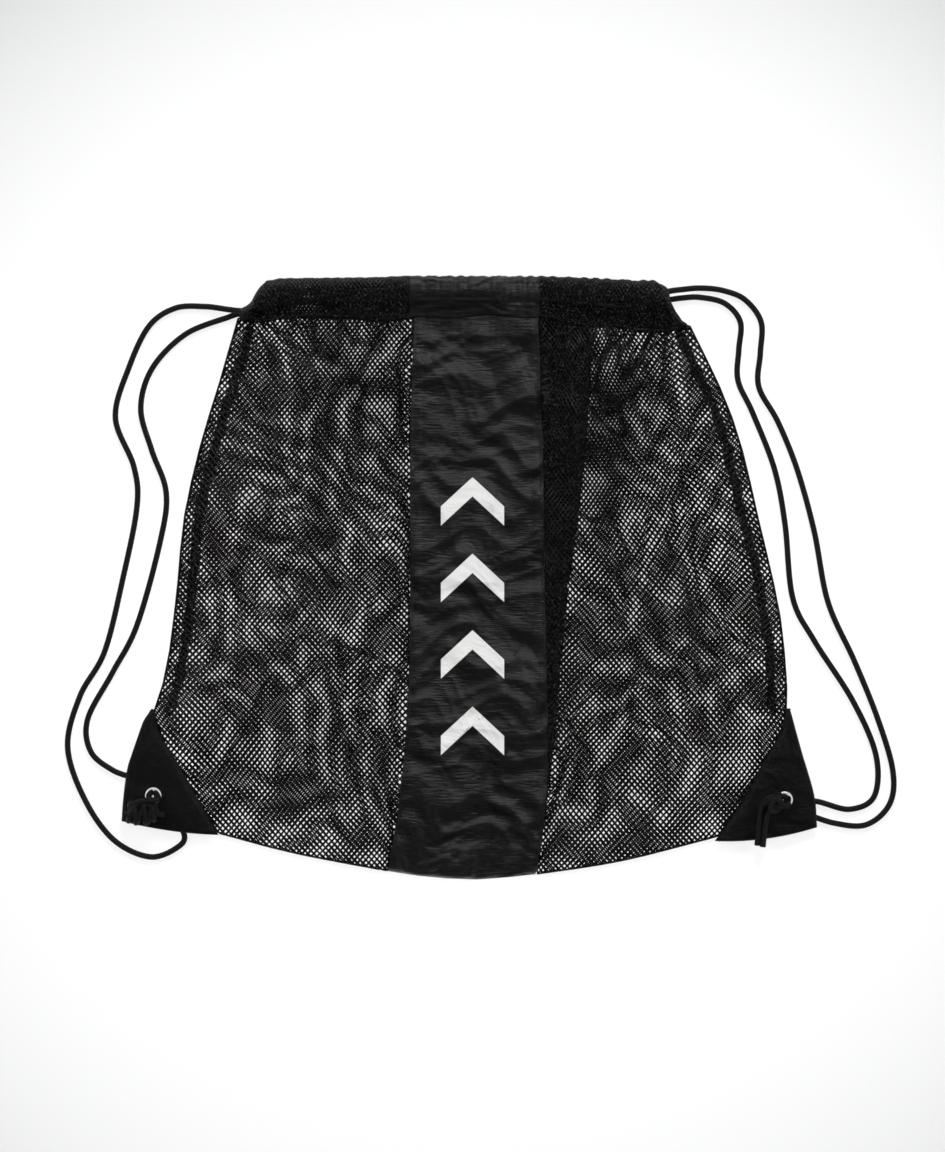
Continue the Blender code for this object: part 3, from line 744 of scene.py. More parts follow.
def gathering(x, y, front):
    """How much further the flat cloth reaches where it is gathered: below the mouth and along the strip."""
    up = smooth_step((y + 30 * MM) / (200 * MM))
    wide = 34 * MM * smooth_step((x - 45 * MM) / (80 * MM))
    wide = wide - 15 * MM * smooth_step((-37 * MM - x) / (105 * MM))
    outline = rim_line("front_strip")
    sides = [outline[(outline[:, 0] > 3 * MM) == right] for right in (False, True)]
    left, right = (np.interp(y, *line[line[:, 1].argsort()].T[[1, 0]]) for line in sides)
    tight = np.exp(-np.abs(left - x) / (6 * MM)) * (x < left)
    tight = tight - np.exp(-np.abs(x - right) / (6 * MM)) * (x > right)
    return wide * up + (4.5 * MM * tight if front else 0.0)


def make_net(name, cad_node, height, seed, turn):
    """One panel of net over a CAD node."""
    low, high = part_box(cad_node)
    x = np.arange(low.x - NET_SPARE, high.x + NET_SPARE, NET_STEP)
    y = np.arange(low.y - NET_SPARE, high.y + NET_SPARE, NET_STEP)
    s, t = np.meshgrid(x, y)
    down_y, down_x = np.gradient(height(s, t), NET_STEP)
    across = 0.5 if cad_node.endswith("left") else -0.5
    px, py = (
        flat - NET_BUNCH * down + NET_DRIFT * waves(s, t, n, 7, 90 * MM, 190 * MM)
        + NET_TUG * waves(s, t, n + 1, 9, 26 * MM, 80 * MM, across, 1.4)
        for flat, n, down in ((s, seed, down_x), (t, seed + 2, down_y))
    )
    flat = np.dstack([s * NET_TALL + gathering(s, t, name.startswith("front")), t / NET_TALL])
    guide = cloth_guide(name + "_guide", flat, np.dstack([px, py, height(px, py)]))
    edge = edge_object(name + "_edge", on_cloth(spread(closed_line(rim_line(cad_node)), 1.5 * MM), height))
    made = run_tree(name, net_builder, {
        "Cloth": guide, "Plan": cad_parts[cad_node], "Edge": edge,
        "Centre": ((low.x + high.x) / 2 * NET_TALL, (low.y + high.y) / 2 / NET_TALL, 0.0),
        "Span": (high.x - low.x + high.y - low.y) / math.sqrt(2) + 22 * NET_PITCH,
        "Pitch": NET_PITCH, "Turn": turn, "Width": NET_WIDTH, "Thickness": NET_THICK, "Finish": net_finish,
    })
    for helper in (guide, edge):
        bpy.data.objects.remove(helper)
    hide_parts(cad_node)
    return made


net_panels = {}
for face, height, seed in (("front", front_height, 100), ("back", back_height, 200)):
    for side, turn in (("left", 1), ("right", -1)):
        tilt = math.radians(45 + turn * (1.9 if face == "front" else -1.2))
        name = f"{face}_net_{side}"
        net_panels[name] = make_net(name, f"{face}_mesh_{side}", height, seed + 10 * turn, tilt)
        move_with_mouth(net_panels[name], side)


# ---------------------------------------------------------------- net edges
# The front and back nets are one cloth folded at the sides. The fold shows as a fine dark line, from
# the mouth down to the end of the corner's diagonal.

def span_at(outline, y):
    """The lowest and highest x of a plan outline where it crosses y."""
    a, b = outline, np.roll(outline, -1, 0)
    across = (a[:, 1] <= y) != (b[:, 1] <= y)
    a, b = a[across], b[across]
    x = a[:, 0] + (b[:, 0] - a[:, 0]) * (y - a[:, 1]) / (b[:, 1] - a[:, 1])
    return x.min(), x.max()


FOLD_Z = 1.6 * MM


def side_line(cad_node, side, step):
    outline = rim_line(cad_node)
    y = np.arange(outline[:, 1].min() + 1 * MM, outline[:, 1].max() - 0.2 * MM, step)
    x = np.array([span_at(outline, at)[side == "right"] for at in y])
    return np.stack([x, y, np.full(len(y), FOLD_Z)], 1)


FOLD_DIAMETER = 1.3 * MM
side_folds = {}
for side in ("left", "right"):
    line = spread(side_line(f"front_mesh_{side}", side, 2 * MM), 1.2 * MM)
    line[:, 2] += 0.3 * MM * waves(line[:, 0], line[:, 1], 31, 5, 8 * MM, 30 * MM)
    mesh = tube_mesh(f"{side}_fold", line, lambda around, along: FOLD_DIAMETER / 2, 8, net_finish)
    side_folds[side] = add_object(f"{side}_net_fold", mesh)
    move_with_mouth(side_folds[side], side)


# ---------------------------------------------------------------- side seams
# Along each side, 9 mm in from the fold, the two nets are joined again by an overlocked seam. Its
# narrow allowance of bunched net shows dark through both faces.

SEAM_PITCH = 1.7 * MM
SEAM_INSET = 9.5 * MM
PATCH_TOP = -90 * MM

everywhere = flat_square("everywhere", 1.0, -0.1)


def net_over(name, flat, places, pitch, turn):
    """Net over the whole of a guide, whatever its shape, with no plan outline to cut it."""
    guide = cloth_guide(name + "_guide", flat, places)
    low, high = flat.reshape(-1, 2).min(0), flat.reshape(-1, 2).max(0)
    made = run_tree(name, net_builder, {
        "Cloth": guide, "Plan": everywhere, "Edge": everywhere,
        "Centre": ((low[0] + high[0]) / 2, (low[1] + high[1]) / 2, 0.0),
        "Span": float((high - low).sum()) / math.sqrt(2) + 4 * pitch,
        "Pitch": pitch, "Turn": turn, "Width": NET_WIDTH, "Thickness": NET_THICK, "Finish": net_finish,
    })
    bpy.data.objects.remove(guide)
    return made


def joined(name, *objects):
    """One object from several."""
    with bpy.context.temp_override(active_object=objects[0], selected_editable_objects=list(objects)):
        bpy.ops.object.join()
    objects[0].name = name
    return objects[0]


side_seams = {}
for side, inward in (("left", SEAM_INSET), ("right", -SEAM_INSET)):
    low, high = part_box(f"side_seam_{side}")
    line = side_line(f"front_mesh_{side}", side, 1.2 * MM)
    line = line[line[:, 1] > PATCH_TOP]
    s, t = np.meshgrid(np.linspace(-1, 1, 8), line[:, 1])
    centre = line[:, :1] + inward + 0 * s
    layers = []
    for n in range(3):
        half = (3.1 + 0.7 * waves(centre, t, 40 + n, 5, 9 * MM, 30 * MM)) * MM
        x = centre + half * s + 0.5 * MM * waves(centre, t, 50 + n, 5, 12 * MM, 50 * MM)
        z = (low.z + high.z) / 2 + (n - 1) * 0.35 * MM + 0.4 * MM * waves(x, t, 60 + n, 6, 4 * MM, 12 * MM)
        flat = np.dstack([s * 3.2 * MM, t])
        turn = math.radians(45 + 7 * n)
        layers.append(net_over(f"seam_{side}_{n}", flat, np.dstack([x, t, z]), SEAM_PITCH, turn))
    side_seams[side] = joined(f"{side}_overlocked_seam", *layers)
    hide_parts(f"side_seam_{side}")
    move_with_mouth(side_seams[side], side)


# ---------------------------------------------------------------- woven strips
# A strip of thin woven nylon runs down the middle of each face, with its edges turned under and sewn
# to the nets. It is one length of cloth, folded at the bottom of the bag.

STRIP_COLUMNS = 82
STRIP_ROWS = 320
STRIP_HALF = 0.35 * MM      # half the thickness of the cloth
TURN_UNDER = 6 * MM         # width of the edge that is turned under
STITCH_INSET = 2.0 * MM
WOVEN_RIPPLE = (130.0, 820.0, 400.0)    # how fine its ripples are along X, Y and Z, per metre
WOVEN_GRAIN = 4500.0


def slab(name, top, under, finish):
    """A closed sheet between two grids of points, whose columns run along X and rows along Y."""
    rows, columns = top.shape[:2]
    index = np.arange(rows * columns).reshape(rows, columns)
    quads = quads_of(index)
    rim = np.concatenate([index[0], index[1:, -1], index[-1, -2::-1], index[-2:0:-1, 0]])
    onward = np.roll(rim, -1)
    count = rows * columns
    sides = np.stack([onward, rim, rim + count, onward + count], 1)
    faces = [*quads.tolist(), *(quads[:, ::-1] + count).tolist(), *sides.tolist()]
    return add_object(name, new_mesh(name, np.stack([top, under]), faces, finish))


def thick_sheet(name, middle, half, finish):
    """A closed sheet of a given half thickness about a grid of points. half may be a grid too."""
    along = np.gradient(middle, axis=1)
    up = np.gradient(middle, axis=0)
    normal = np.cross(along, up)
    normal /= np.linalg.norm(normal, axis=2, keepdims=True) + 1e-12
    offset = normal * (np.asarray(half) * np.ones(middle.shape[:2]))[..., None]
    return slab(name, middle + offset, middle - offset, finish)


def woven_material(name, ripple, shine):
    """Thin black plain-woven nylon, a little silky, with fine ripples that run across the strip. Its colour
    is painted a little lighter on the ripples' crests, as sheen.
    """
    made = plain_material(name, (0.001, 0.001, 0.001), 0.31, shine=shine)
    tree = made.node_tree
    place = object_place(tree)
    spun = node(tree, "ShaderNodeMapping", {"Vector": place, "Scale": WOVEN_RIPPLE}).outputs["Vector"]
    ripples = noise_height(tree, spun, 1.0, 2.0)
    cells = math_node(tree, "MULTIPLY", noise_height(tree, place, WOVEN_GRAIN, 1.0), 0.25)
    height = math_node(tree, "ADD", math_node(tree, "MULTIPLY", ripples, ripple), cells)
    add_bump(made, height, 0.8, 0.0008)
    # Painted sheen: the base colour is lighter where the ripples stand high, in streaks across the strip.
    mixed_colour(made, ripples, (0.0004, 0.0004, 0.0004), (0.0020, 0.0020, 0.0021))
    return made


woven_finish = woven_material("black woven nylon", 1.0, 0.85)
patch_finish = woven_material("black woven patch", 0.22, 0.45)


def strip_plan(cad_node):
    """Plan points over a strip's CAD node, the distance in from its edges and up from the bottom fold."""
    outline = rim_line(cad_node)
    corner = outline[outline[:, 0].argmin(), 1] + 0.05 * MM
    top = outline[:, 1].max() + 1.2 * MM
    straight = outline[:, 1].max() - 4 * MM
    v = np.linspace(0, 1, STRIP_ROWS)[:, None]
    y = corner + (top - corner) * v + np.zeros(STRIP_COLUMNS)
    spans = np.array([span_at(outline, min(at, straight)) for at in y[:, 0]])
    u = np.linspace(0, 1, STRIP_COLUMNS)
    x = spans[:, :1] + (spans[:, 1:] - spans[:, :1]) * u
    inner = np.clip(x[0], x[0, 0] + 1e-5, x[0, -1] - 1e-5)
    bottom = np.array([span_at(outline[:, [1, 0]], at)[0] for at in inner])
    y = y + (bottom - corner) * (1 - v) ** 14
    inward = np.minimum(x - spans[:, :1], spans[:, 1:] - x)
    return x, y, inward, y - bottom


def strip_relief(x, y, inward, seed):
    """Creases, ripples and the raised turned-under edges of a strip."""
    broad = 1.9 * MM * creases(x, y, seed, 6, 16 * MM, 44 * MM, math.pi / 2, 2.2)
    fine = 0.2 * MM * creases(x, y, seed + 10, 8, 6 * MM, 15 * MM, math.pi / 2, 1.4)
    free = 0.25 + 0.75 * smooth_step((MOUTH_Y - 2 * MM - y) / (16 * MM))
    patch = smooth_step(0.5 + 0.8 * waves(x, y, seed + 20, 6, 22 * MM, 60 * MM))
    bend = 2.2 * waves(x, y, seed + 30, 6, 9 * MM, 40 * MM)
    ripple = 0.12 * MM * patch * np.sin(2 * np.pi * y / (3.3 * MM) + bend)
    edge = 0.3 * MM * (1 - smooth_step((inward - TURN_UNDER) / (1.5 * MM)))
    groove = 0.3 * MM * np.exp(-(((inward - STITCH_INSET) / (0.7 * MM)) ** 2))
    return free * smooth_step(inward / (3 * MM)) * (broad + fine + ripple) + edge - groove


STRIP_FOLDS = [              # single folds in millimetres: from, to, half width, height
    ((-44, -147), (0, -191), 2.0, 1.2), ((0, -191), (40, -188), 1.6, 0.8),
    ((-40, -112), (18, -128), 3.0, 1.0), ((-34, 132), (14, 164), 2.6, 1.3),
    ((6, 138), (40, 150), 2.2, 1.0), ((-38, 60), (-8, 86), 2.6, 1.0),
    ((8, 10), (46, 26), 2.6, 1.1), ((-36, -40), (-2, -28), 2.4, 1.0), ((12, -70), (48, -84), 2.8, 1.2),
    ((14, 96), (46, 84), 2.4, 1.0),
]


def ridge(x, y, a, b, wide):
    """A fold from a to b, sharp on its line, that fades out at its ends."""
    a, b = np.array(a) * MM, np.array(b) * MM
    way = b - a
    t = ((x - a[0]) * way[0] + (y - a[1]) * way[1]) / way.dot(way)
    off = np.hypot(x - a[0] - np.clip(t, 0, 1) * way[0], y - a[1] - np.clip(t, 0, 1) * way[1])
    bow = smooth_step(4 * np.clip(t, 0, 1) * (1 - np.clip(t, 0, 1)) + 0.15)
    return bow * np.exp(-off / wide)


def front_strip_height(x, y, inward, above):
    fold = np.sqrt(1 - (1 - np.clip(above / (4 * MM), 0, 1)) ** 2)
    flat = front_height(x, y) + strip_relief(x, y, inward, 301) + 0.25 * MM
    for a, b, wide, high in STRIP_FOLDS:
        flat = flat + high * MM * ridge(x, y, a, b, wide * MM)
    return HALF_CLOTH + (flat - HALF_CLOTH) * fold


def back_strip_height(x, y, inward, above):
    return back_height(x, y) + 0.2 * np.clip(strip_relief(x, y, inward, 351), -1 * MM, 1 * MM)


strips = {}
for face, height in (("front", front_strip_height), ("back", back_strip_height)):
    x, y, inward, above = strip_plan(f"{face}_strip")
    middle = np.dstack([x, y, height(x, y, inward, above)])
    strips[face] = thick_sheet(f"{face}_woven_strip", middle, STRIP_HALF, woven_finish)
    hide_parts(f"{face}_strip")
    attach(strips[face], "bag")
    if face == "front":
        front_strip_grid = middle


# ---------------------------------------------------------------- print
# Four plain white chevrons, one above another, in thick white ink. They are screen-printed straight
# on the cloth of the front strip, so they follow its creases.

CHEVRON_X = 2.0 * MM
CHEVRON_HALF = 20.5 * MM    # half the width of a chevron
CHEVRON_STROKE = 12.5 * MM  # its height along Y at any x
CHEVRON_RISE = 19 * MM
CHEVRON_BOTTOMS = (33.5 * MM, -16 * MM, -65.5 * MM, -115 * MM)
PRINT_LIFT = 0.16 * MM
PRINT_THICK = 0.25 * MM

print_finish = plain_material("white print", (0.62, 0.62, 0.615), 0.5)
strip_surface = surface_of(strips["front"])


def chevron(name, bottom):
    u = np.linspace(-1, 1, 121)
    v = np.linspace(0, 1, 37)
    u, v = np.meshgrid(u, v)
    x = CHEVRON_X + CHEVRON_HALF * u
    y = bottom + CHEVRON_STROKE * v + CHEVRON_RISE * (1 - np.abs(u))
    z = np.vectorize(lambda at_x, at_y: hit_below(strip_surface, at_x, at_y).z)(x, y)
    top = np.dstack([x, y, z + PRINT_LIFT])
    return slab(name, top, top - (0, 0, PRINT_THICK), print_finish)


prints = [chevron(f"chevron_{n + 1}", bottom) for n, bottom in enumerate(CHEVRON_BOTTOMS)]
for mark in prints:
    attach(mark, "bag")


# ---------------------------------------------------------------- casings
# The top of each face is turned over and sewn down as a casing, gathered on the two drawcords inside
# it. It is net at the sides, with a woven length in the middle that carries the strip on.

TOP_LINE = [
    (-150, 173.8), (-146, 175.6), (-141, 178.5), (-138, 184.5), (-135, 189), (-131, 192.4), (-122, 194),
    (-60, 194.6), (-38, 195.6), (44.5, 195.4), (80, 194.2), (109.5, 192.6), (118, 193), (124, 190.6),
    (128.2, 187.6), (130, 179), (133, 173), (137, 168), (142, 163.8),
]
LOW_LINE = [
    (-150, 170), (-147, 167.6), (-130, 165.6), (-104, 168.6), (-70, 167.4), (-36, 168.8), (45, 168.8),
    (60, 166), (88, 163.6), (112, 158.6), (142, 159.6),
]
CORE_LINE = {                # height of the middle of each casing
    "front": [
        (-150, 8.6), (-140, 11.6), (-131, 13.3), (-121, 14.0), (-100, 14.5), (-60, 14.9), (-20, 15.2),
        (20, 15.1), (60, 14.4), (92, 13.9), (106, 13.4), (118, 12.9), (129, 11.6), (135, 9.4), (142, 5.8),
    ],
    "back": [(-150, 2.6), (-140, 2.9), (-121, 3.3), (106, 3.3), (118, 3.2), (129, 2.9), (142, 1.6)],
}
CORE_HALF = {                # half its depth there
    "front": [
        (-150, 4.2), (-140, 5.6), (-131, 5.6), (-121, 5.2), (-100, 4.6), (-60, 4.2), (-46, 3.7),
        (-37, 2.9), (60, 2.9),
        (92, 3.2), (106, 3.6), (118, 4.2), (129, 4.4), (135, 4.0), (142, 3.2),
    ],
    "back": [(-150, 2.0), (-140, 2.4), (-121, 2.9), (118, 2.9), (129, 2.4), (142, 0.7)],
}
CASING_ENDS = {"left": (-149.6, -36.6), "middle": (-38.6, 45.2), "right": (43.4, 141.6)}
CASING_PITCH = 2.1 * MM    # the net is drawn together by the gathers
CASING_CLEAR = 0.35 * MM    # the lowest the cloth comes to the floor
CASING_PUFF = 0.45 * MM     # how much deeper the woven length is than the net
CASING_COLUMNS, CASING_ROWS = 140, 44
CASING_TURN = {"front": 46, "back": 43}     # of the lattice, in degrees


def read_line(line, x):
    at, value = np.array(line).T * MM
    return np.interp(x, at, value)


def casing_places(face, part, columns, rows, puff):
    """Points of a casing's cloth: columns along the mouth, rows from the hem up over the cords and back."""
    first, last = CASING_ENDS[part]
    x, turn = np.meshgrid(np.linspace(first * MM, last * MM, columns), np.linspace(0, 2 * np.pi, rows))
    up = (1 - np.cos(turn)) / 2
    fold = pucker(x)
    deep = pucker_size(x)
    low, high = read_line(LOW_LINE, x), read_line(TOP_LINE, x) - 0.9 * MM
    low = low + 0.9 * MM * np.sin(x / (7 * MM)) + 1.1 * MM * np.sin(x / (19 * MM) + 1.0)
    y = low + (high + 0.45 * deep * fold - low) * up
    height = front_height if face == "front" else back_height
    hem = height(x, low) + (1.1 * MM if part == "middle" else 0.6 * MM) * (1.0 if face == "front" else 0.4)
    free = smooth_step(up / 0.7)
    middle = hem + (read_line(CORE_LINE[face], x) - hem) * free
    half = (read_line(CORE_HALF[face], x) + puff) * (0.35 + 0.65 * free)
    crumple = 0.7 * deep * creases(x, y + 0.06 * np.sin(turn), 401, 6, 12 * MM, 36 * MM, 0.3, 2.0)
    z = middle + np.sin(turn) * (half + 0.8 * deep * fold * (0.1 + 0.9 * up**2) + crumple * (0.5 + 0.5 * up))
    return np.dstack([x, y, np.maximum(z, CASING_CLEAR)])


casings = {}
for face in ("front", "back"):
    for side, fullness in (("left", 1.12), ("right", 1.3)):
        first, last = CASING_ENDS[side]
        along, up = np.linspace(first, last, CASING_COLUMNS), np.linspace(0, 56 * MM, CASING_ROWS)
        s, t = np.meshgrid(along * fullness * MM, up)
        places = casing_places(face, side, CASING_COLUMNS, CASING_ROWS, 0.0)
        name = f"{face}_casing_{side}"
        turn = math.radians(CASING_TURN[face])
        casings[name] = net_over(
            f"{face}_gathered_casing_{side}", np.dstack([s, t]), places, CASING_PITCH, turn
        )
        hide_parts(name)
        move_with_mouth(casings[name], side)
    name = f"{face}_casing_middle"
    middle = casing_places(face, "middle", 130, 84, CASING_PUFF)
    casings[name] = thick_sheet(f"{face}_woven_casing", middle, STRIP_HALF, woven_finish)
    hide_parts(name)
    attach(casings[name], "bag")


# ---------------------------------------------------------------- corner patches
# A folded piece of the same woven nylon covers each bottom corner, front and back plies together. It
# is sewn to the nets along the diagonal and carries the eyelet.

PATCH_HALF = 0.95 * MM      # half the thickness of the two plies and the turned edges
PATCH_Z = 6.25 * MM         # height of its middle
PATCH_EDGES = {              # its -X edge and its +X edge from the top, and how far its bottom bows
    "left": (
        [
            (-206.2, -85), (-210.6, -91.6), (-212.4, -95.4), (-215.4, -104), (-219, -114.5),
            (-222, -124.5), (-224.4, -142), (-225.6, -158),
        ],
        [(-204.5, -86), (-201.5, -100), (-189.5, -120), (-176.5, -143), (-163, -167)],
        1.7 * MM,
    ),
    "right": (
        [(205.5, -85), (201.5, -101.5), (190.5, -120), (178.8, -143), (159.4, -171.0)],
        [(208, -85), (215, -111), (223.6, -141), (225.5, -162)],
        2.9 * MM,
    ),
}


def even_line(points, count):
    line = smooth_line([(x, y, 0) for x, y in points])
    far = along_line(line)
    at = np.linspace(0, far[-1], count)
    return np.stack([np.interp(at, far, line[:, i]) for i in range(2)], 1)


def patch_places(first, second, bow):
    """Plan points between two edges from the top of a patch to its bottom, and how far in each is."""
    a, b = even_line(first, 90), even_line(second, 90)
    u = np.linspace(0, 1, 70)[None, :, None]
    plan = a[:, None] * (1 - u) + b[:, None] * u
    v = np.linspace(0, 1, 90)[:, None]
    plan[..., 1] -= bow * 4 * u[..., 0] * (1 - u[..., 0]) * v**8
    wide = np.linalg.norm(b - a, axis=1)[:, None]
    below = (1 - v) * np.linalg.norm(np.diff(a, axis=0), axis=1).sum() + 0 * u[..., 0]
    return plan, wide * u[..., 0], wide * (1 - u[..., 0]), below


def make_patch(side, edges, seed):
    plan, from_first, from_second, from_bottom = patch_places(*edges)
    outer, inner = (from_first, from_second) if side == "left" else (from_second, from_first)
    x, y = plan[..., 0], plan[..., 1]
    rim = np.minimum(np.minimum(outer, inner), from_bottom)
    z = PATCH_Z - 0.8 * MM * np.exp(-outer / (5 * MM)) - 1.6 * MM * np.exp(-inner / (5 * MM))
    inside = smooth_step(rim / (5 * MM))
    broad = 0.28 * MM * creases(x, y, seed, 5, 14 * MM, 34 * MM)
    z = z + inside * (broad + 0.08 * MM * creases(x, y, seed + 5, 6, 5 * MM, 11 * MM))
    z = z - 0.22 * MM * np.exp(-(((inner - 2.4 * MM) / (0.7 * MM)) ** 2))
    half = PATCH_HALF * (0.35 + 0.65 * np.sqrt(smooth_step(rim / (1.6 * MM))))
    middle = np.dstack([x, y, z])
    middle, half = middle[::-1], half[::-1]
    return thick_sheet(f"{side}_corner_patch", middle, half, patch_finish)


def bore(piece, centre, radius):
    """Cuts a round hole straight down through a piece."""
    bpy.ops.mesh.primitive_cylinder_add(vertices=48, radius=radius, depth=0.05, location=(*centre, 0))
    cutter = bpy.context.object
    cut = piece.modifiers.new("hole", "BOOLEAN")
    cut.operation = "DIFFERENCE"
    cut.solver = "EXACT"
    cut.object = cutter
    settle(piece)
    bpy.data.objects.remove(cutter)


EYELET = {"left": (-205.0 * MM, -141.4 * MM), "right": (204.4 * MM, -144.0 * MM)}
HOLE_RADIUS = 4.1 * MM
patches = {}
for seed, side in ((501, "left"), (521, "right")):
    patches[side] = make_patch(side, PATCH_EDGES[side], seed)
    bore(patches[side], EYELET[side], HOLE_RADIUS + 0.25 * MM)
    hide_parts(f"corner_patch_{side}")
    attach(patches[side], "bag")


# ---------------------------------------------------------------- eyelets
# A small brass eyelet, nickel plated, is set in each patch: its barrel goes through both plies, rolled
# over a flange in front and spread on a washer behind.

RING_SIDES = 72
nickel = plain_material("bright nickel", (0.93, 0.925, 0.91), 0.34, 0.45)


def turned(name, profile, centre, finish):
    """A closed ring: a loop of (radius, height) points in millimetres, anticlockwise, turned about Z."""
    profile = np.array(profile) * MM
    angle = 2 * np.pi * np.arange(RING_SIDES) / RING_SIDES
    x = centre[0] + profile[:, :1] * np.cos(angle)
    y = centre[1] + profile[:, :1] * np.sin(angle)
    points = np.stack([x, y, profile[:, 1:] + 0 * x], -1)
    index = np.arange(len(profile) * RING_SIDES).reshape(-1, RING_SIDES)
    faces = quads_of(np.pad(index, ((0, 1), (0, 1)), mode="wrap")).tolist()
    return add_object(name, new_mesh(name, points, faces, finish))


def arc(centre_r, centre_z, radius, first, last, count):
    angle = np.radians(np.linspace(first, last, count))
    return [(centre_r + radius * math.cos(a), centre_z + radius * math.sin(a)) for a in angle]


ROLL = 0.62                 # radius of the rolled flange, in millimetres
ROLL_WALL = 0.28
ROLL_Z, BARREL_Z = 7.55, 4.9    # height of the flange's middle and of the barrel's foot
eyelets = {}
for side in ("left", "right"):
    outer_r = HOLE_RADIUS / MM
    profile = [
        (outer_r, BARREL_Z), *arc(outer_r + ROLL, ROLL_Z, ROLL, 180, -30, 15),
        *arc(outer_r + ROLL, ROLL_Z, ROLL - ROLL_WALL, -30, 180, 9), (outer_r + ROLL_WALL, BARREL_Z),
    ][::-1]
    eyelets[side] = turned(f"{side}_eyelet_ring", profile, EYELET[side], nickel)
    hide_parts(f"eyelet_{side}")
    low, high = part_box(f"eyelet_washer_{side}")
    low, high = low.z / MM, high.z / MM
    ring = [(4.75, low), (5.6, low), (5.8, low + 0.15), (5.7, high), (4.75, high)]
    eyelets[side + "_washer"] = turned(f"{side}_eyelet_backing", ring, EYELET[side], nickel)
    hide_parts(f"eyelet_washer_{side}")
for metal in eyelets.values():
    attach(metal, "bag")


# ---------------------------------------------------------------- knots
# Both ends of each drawcord come up through the eyelet together and are tied over it, so that they
# can't slip back. The left knot is a tight lump; the right one leaves two ends hanging side by side.

KNOT_STEP = 0.5 * MM
WRAPS = [                   # middle, half span, lift and lean in millimetres of each turn of the left knot
    (-219.4, 5.2, 0.0, 1.2), (-216.6, 6.4, 0.8, -0.9), (-213.0, 5.2, 0.0, 1.6), (-210.4, 6.5, 0.9, -1.3),
    (-206.8, 5.4, 0.2, 0.9), (-204.8, 4.4, 1.0, -0.8),
]


def wrapped_route():
    """The left cord's route: up through the eyelet, along, then wound round its own other end."""
    route = [
        (-203.5, -139.6, 7.2), (-202.2, -141.0, 10.4), (-201.4, -143.4, 13.8), (-206, -143.9, 15.6),
        (-212, -144.5, 15.4), (-218, -146.6, 14.2),
    ]
    for x, tall, lift, lean in WRAPS:
        for turn in np.radians(np.arange(90, 450, 45)):
            across = x + 2.8 * (turn / (2 * math.pi) - 0.75) + lean * math.sin(turn)
            route.append((across, -152.2 + tall * math.sin(turn), 12.2 + lift + 2.9 * math.cos(turn)))
    return [*route, (-201.4, -152.6, 11.6), (-197.5, -153.5, 10.6)]


KNOT_ROUTES = {
    "left": [wrapped_route(), [
        (-206.5, -139.6, 7.2), (-207.6, -141.4, 10.2), (-206.4, -144.2, 12.6), (-202.6, -148.8, 13.2),
        (-203.4, -151.6, 12.8), (-208, -152.6, 12.4), (-214, -152.8, 12.4), (-221, -153, 12.2),
        (-223.2, -153.6, 12),
    ]],
    "right": [[
        (204.6, -145.9, 7.2), (206.6, -146.8, 10), (205.6, -147.8, 12.8), (200.6, -147.4, 13),
        (196, -149.2, 13), (193.2, -153, 12.4), (191.6, -160, 11.4), (190.7, -167, 10.8),
        (190.0, -174.4, 10.4),
    ], [
        (204.6, -142.1, 7.2), (203.2, -141.9, 10.2), (198, -141.6, 12.8), (192.4, -142.8, 13.2),
        (189, -147.6, 12.8), (187.7, -155, 11.6), (187.1, -165, 11), (186.5, -173.4, 10.4),
    ], [
        (189.5, -149.5, 10), (191, -146.4, 13.4), (194.2, -144, 16.6), (198.2, -143.2, 16.4),
        (201.4, -145.4, 14), (201.2, -149, 11.4), (197.8, -151, 12.6), (194.8, -149.4, 15.8),
        (195, -145.6, 17.2), (198.4, -142.6, 15.6), (201.2, -140.6, 11.6),
    ]],
}
knots = {}
for side, routes in KNOT_ROUTES.items():
    tubes = []
    for n, route in enumerate(routes):
        line = spread(smooth_line(route), KNOT_STEP)
        mesh = tube_mesh(f"{side}_knot_{n}", line, braid_radius, CORD_SIDES, cord_finish)
        tubes.append(add_object(f"{side}_knot_{n}", mesh))
    knots[side] = joined(f"{side}_tied_knot", *tubes)
    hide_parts(f"{side}_knot")
    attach(knots[side], "bag")


# ---------------------------------------------------------------- stitching
# Lockstitch in black thread: one row along each side of the front strip, along the front casings' hems and
# along the patches' diagonals.

STITCH_SPACING = 2.6 * MM
STITCH_LENGTH = 1.9 * MM
THREAD_DIAMETER = 0.42 * MM
THREAD_LIFT = 0.05 * MM     # its middle stands this far over the cloth


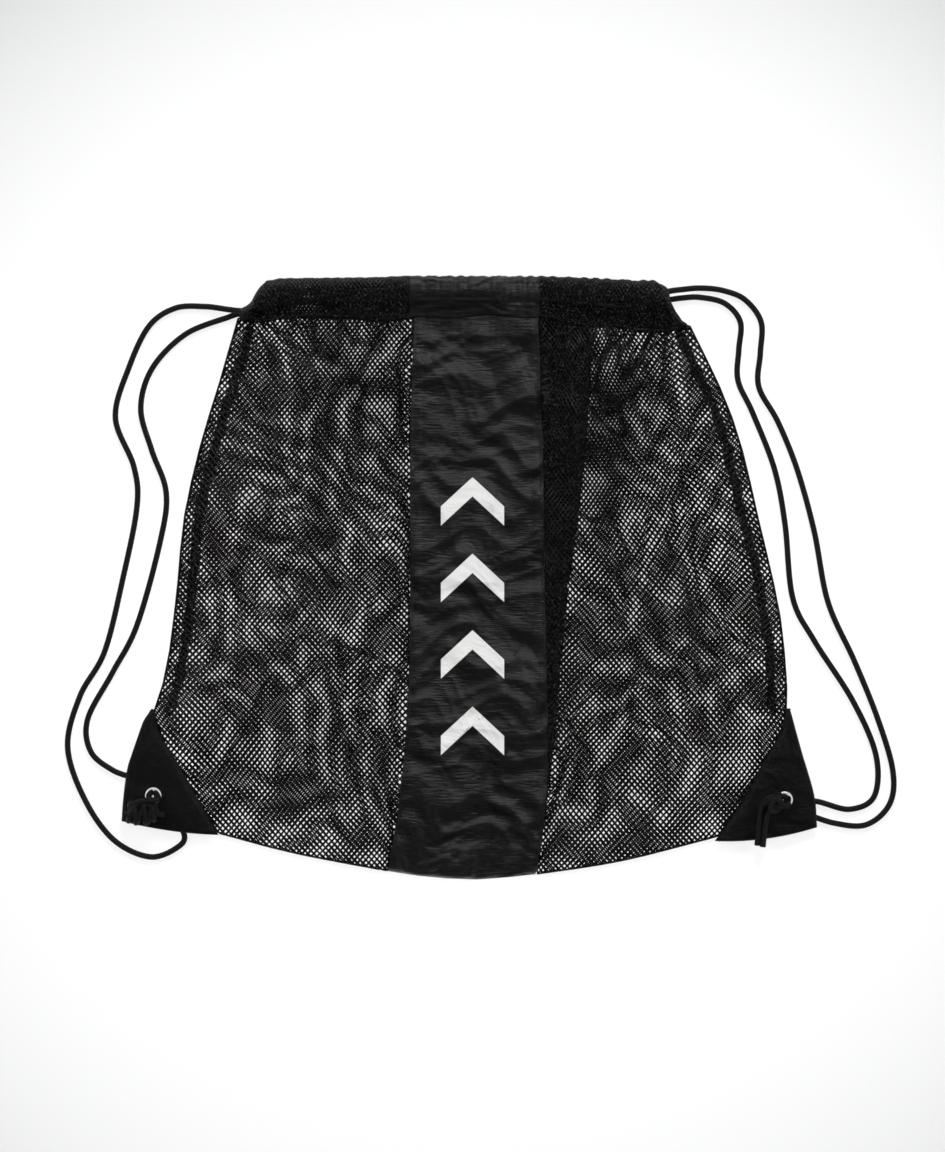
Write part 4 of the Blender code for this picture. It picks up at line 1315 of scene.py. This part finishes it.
def stitch_tree():
    """Short threads at an even spacing along a path."""
    tree, get = new_tree(
        "stitches", Path="Object", Spacing="Float", Length="Float", Diameter="Float", Finish="Material"
    )
    path = geo(tree, "MeshToCurve", {"Mesh": object_shape(tree, get["Path"])})
    path = geo(tree, "SetCurveNormal", {"Curve": path}, mode="Z_UP")
    even = {"Curve": path, "Length": get["Spacing"]}
    points = node(tree, "GeometryNodeCurveToPoints", even, mode="LENGTH").outputs
    ball = geo(tree, "MeshUVSphere", {"Segments": 8, "Rings": 6, "Radius": 0.5})
    size = vector_node(tree, X=get["Diameter"], Y=get["Diameter"], Z=get["Length"])
    thread = geo(tree, "Transform", {"Geometry": ball, "Scale": size})
    placed = geo(tree, "InstanceOnPoints", {
        "Points": points["Points"], "Instance": thread, "Rotation": points["Rotation"],
    })
    return close_tree(tree, placed, get["Finish"])


stitch_builder = stitch_tree()
thread_finish = plain_material("black sewing thread", (0.007, 0.007, 0.007), 0.5, shine=0.4)


def make_stitches(name, line):
    path = edge_object(name + "_path", line)
    made = run_tree(name, stitch_builder, {
        "Path": path, "Spacing": STITCH_SPACING, "Length": STITCH_LENGTH,
        "Diameter": THREAD_DIAMETER, "Finish": thread_finish,
    })
    bpy.data.objects.remove(path)
    return made


def dropped(line, surface, lift):
    """The line moved down onto a surface, less the points that miss it."""
    hits = [hit_below(surface, x, y) for x, y, _ in line]
    return np.array([(h.x, h.y, h.z + lift) for h in hits if h is not None])


strip_stitches = []
for edge, inset in ((0, STITCH_INSET), (-1, -STITCH_INSET)):
    line = front_strip_grid[4:, edge].copy()
    line[:, 0] += inset
    line = dropped(spread(line, 1.5 * MM), strip_surface, THREAD_LIFT)
    strip_stitches.append(make_stitches(f"strip_stitch_{edge}", line))
patch_stitches = []
for side in ("left", "right"):
    inner = PATCH_EDGES[side][side == "left"]
    line = np.pad(even_line(inner, 120), ((0, 0), (0, 1)))
    line[:, 0] += 2.9 * MM * (-1 if side == "left" else 1)
    line = dropped(line, surface_of(patches[side]), THREAD_LIFT)
    patch_stitches.append(make_stitches(f"patch_stitch_{side}", line))
hem_stitches = {}
for part, (first, last) in CASING_ENDS.items():
    x = np.linspace((first + 1) * MM, (last - 1) * MM, 160)
    y = read_line(LOW_LINE, x) + 1.6 * MM
    rough = casing_places("front", part, 160, 84, CASING_PUFF if part == "middle" else 0.0)
    top = slab("hem_guide", rough[:42], rough[:42] - (0, 0, 0.1 * MM), thread_finish)
    line = dropped(np.stack([x, y, 0 * x], 1), surface_of(top), 0.4 * MM)
    bpy.data.objects.remove(top)
    hem_stitches[part] = make_stitches(f"hem_stitch_{part}", line)
for thread in [*strip_stitches, *patch_stitches, hem_stitches["middle"]]:
    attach(thread, "bag")
for side in ("left", "right"):
    move_with_mouth(hem_stitches[side], side)
bpy.data.objects.remove(everywhere)
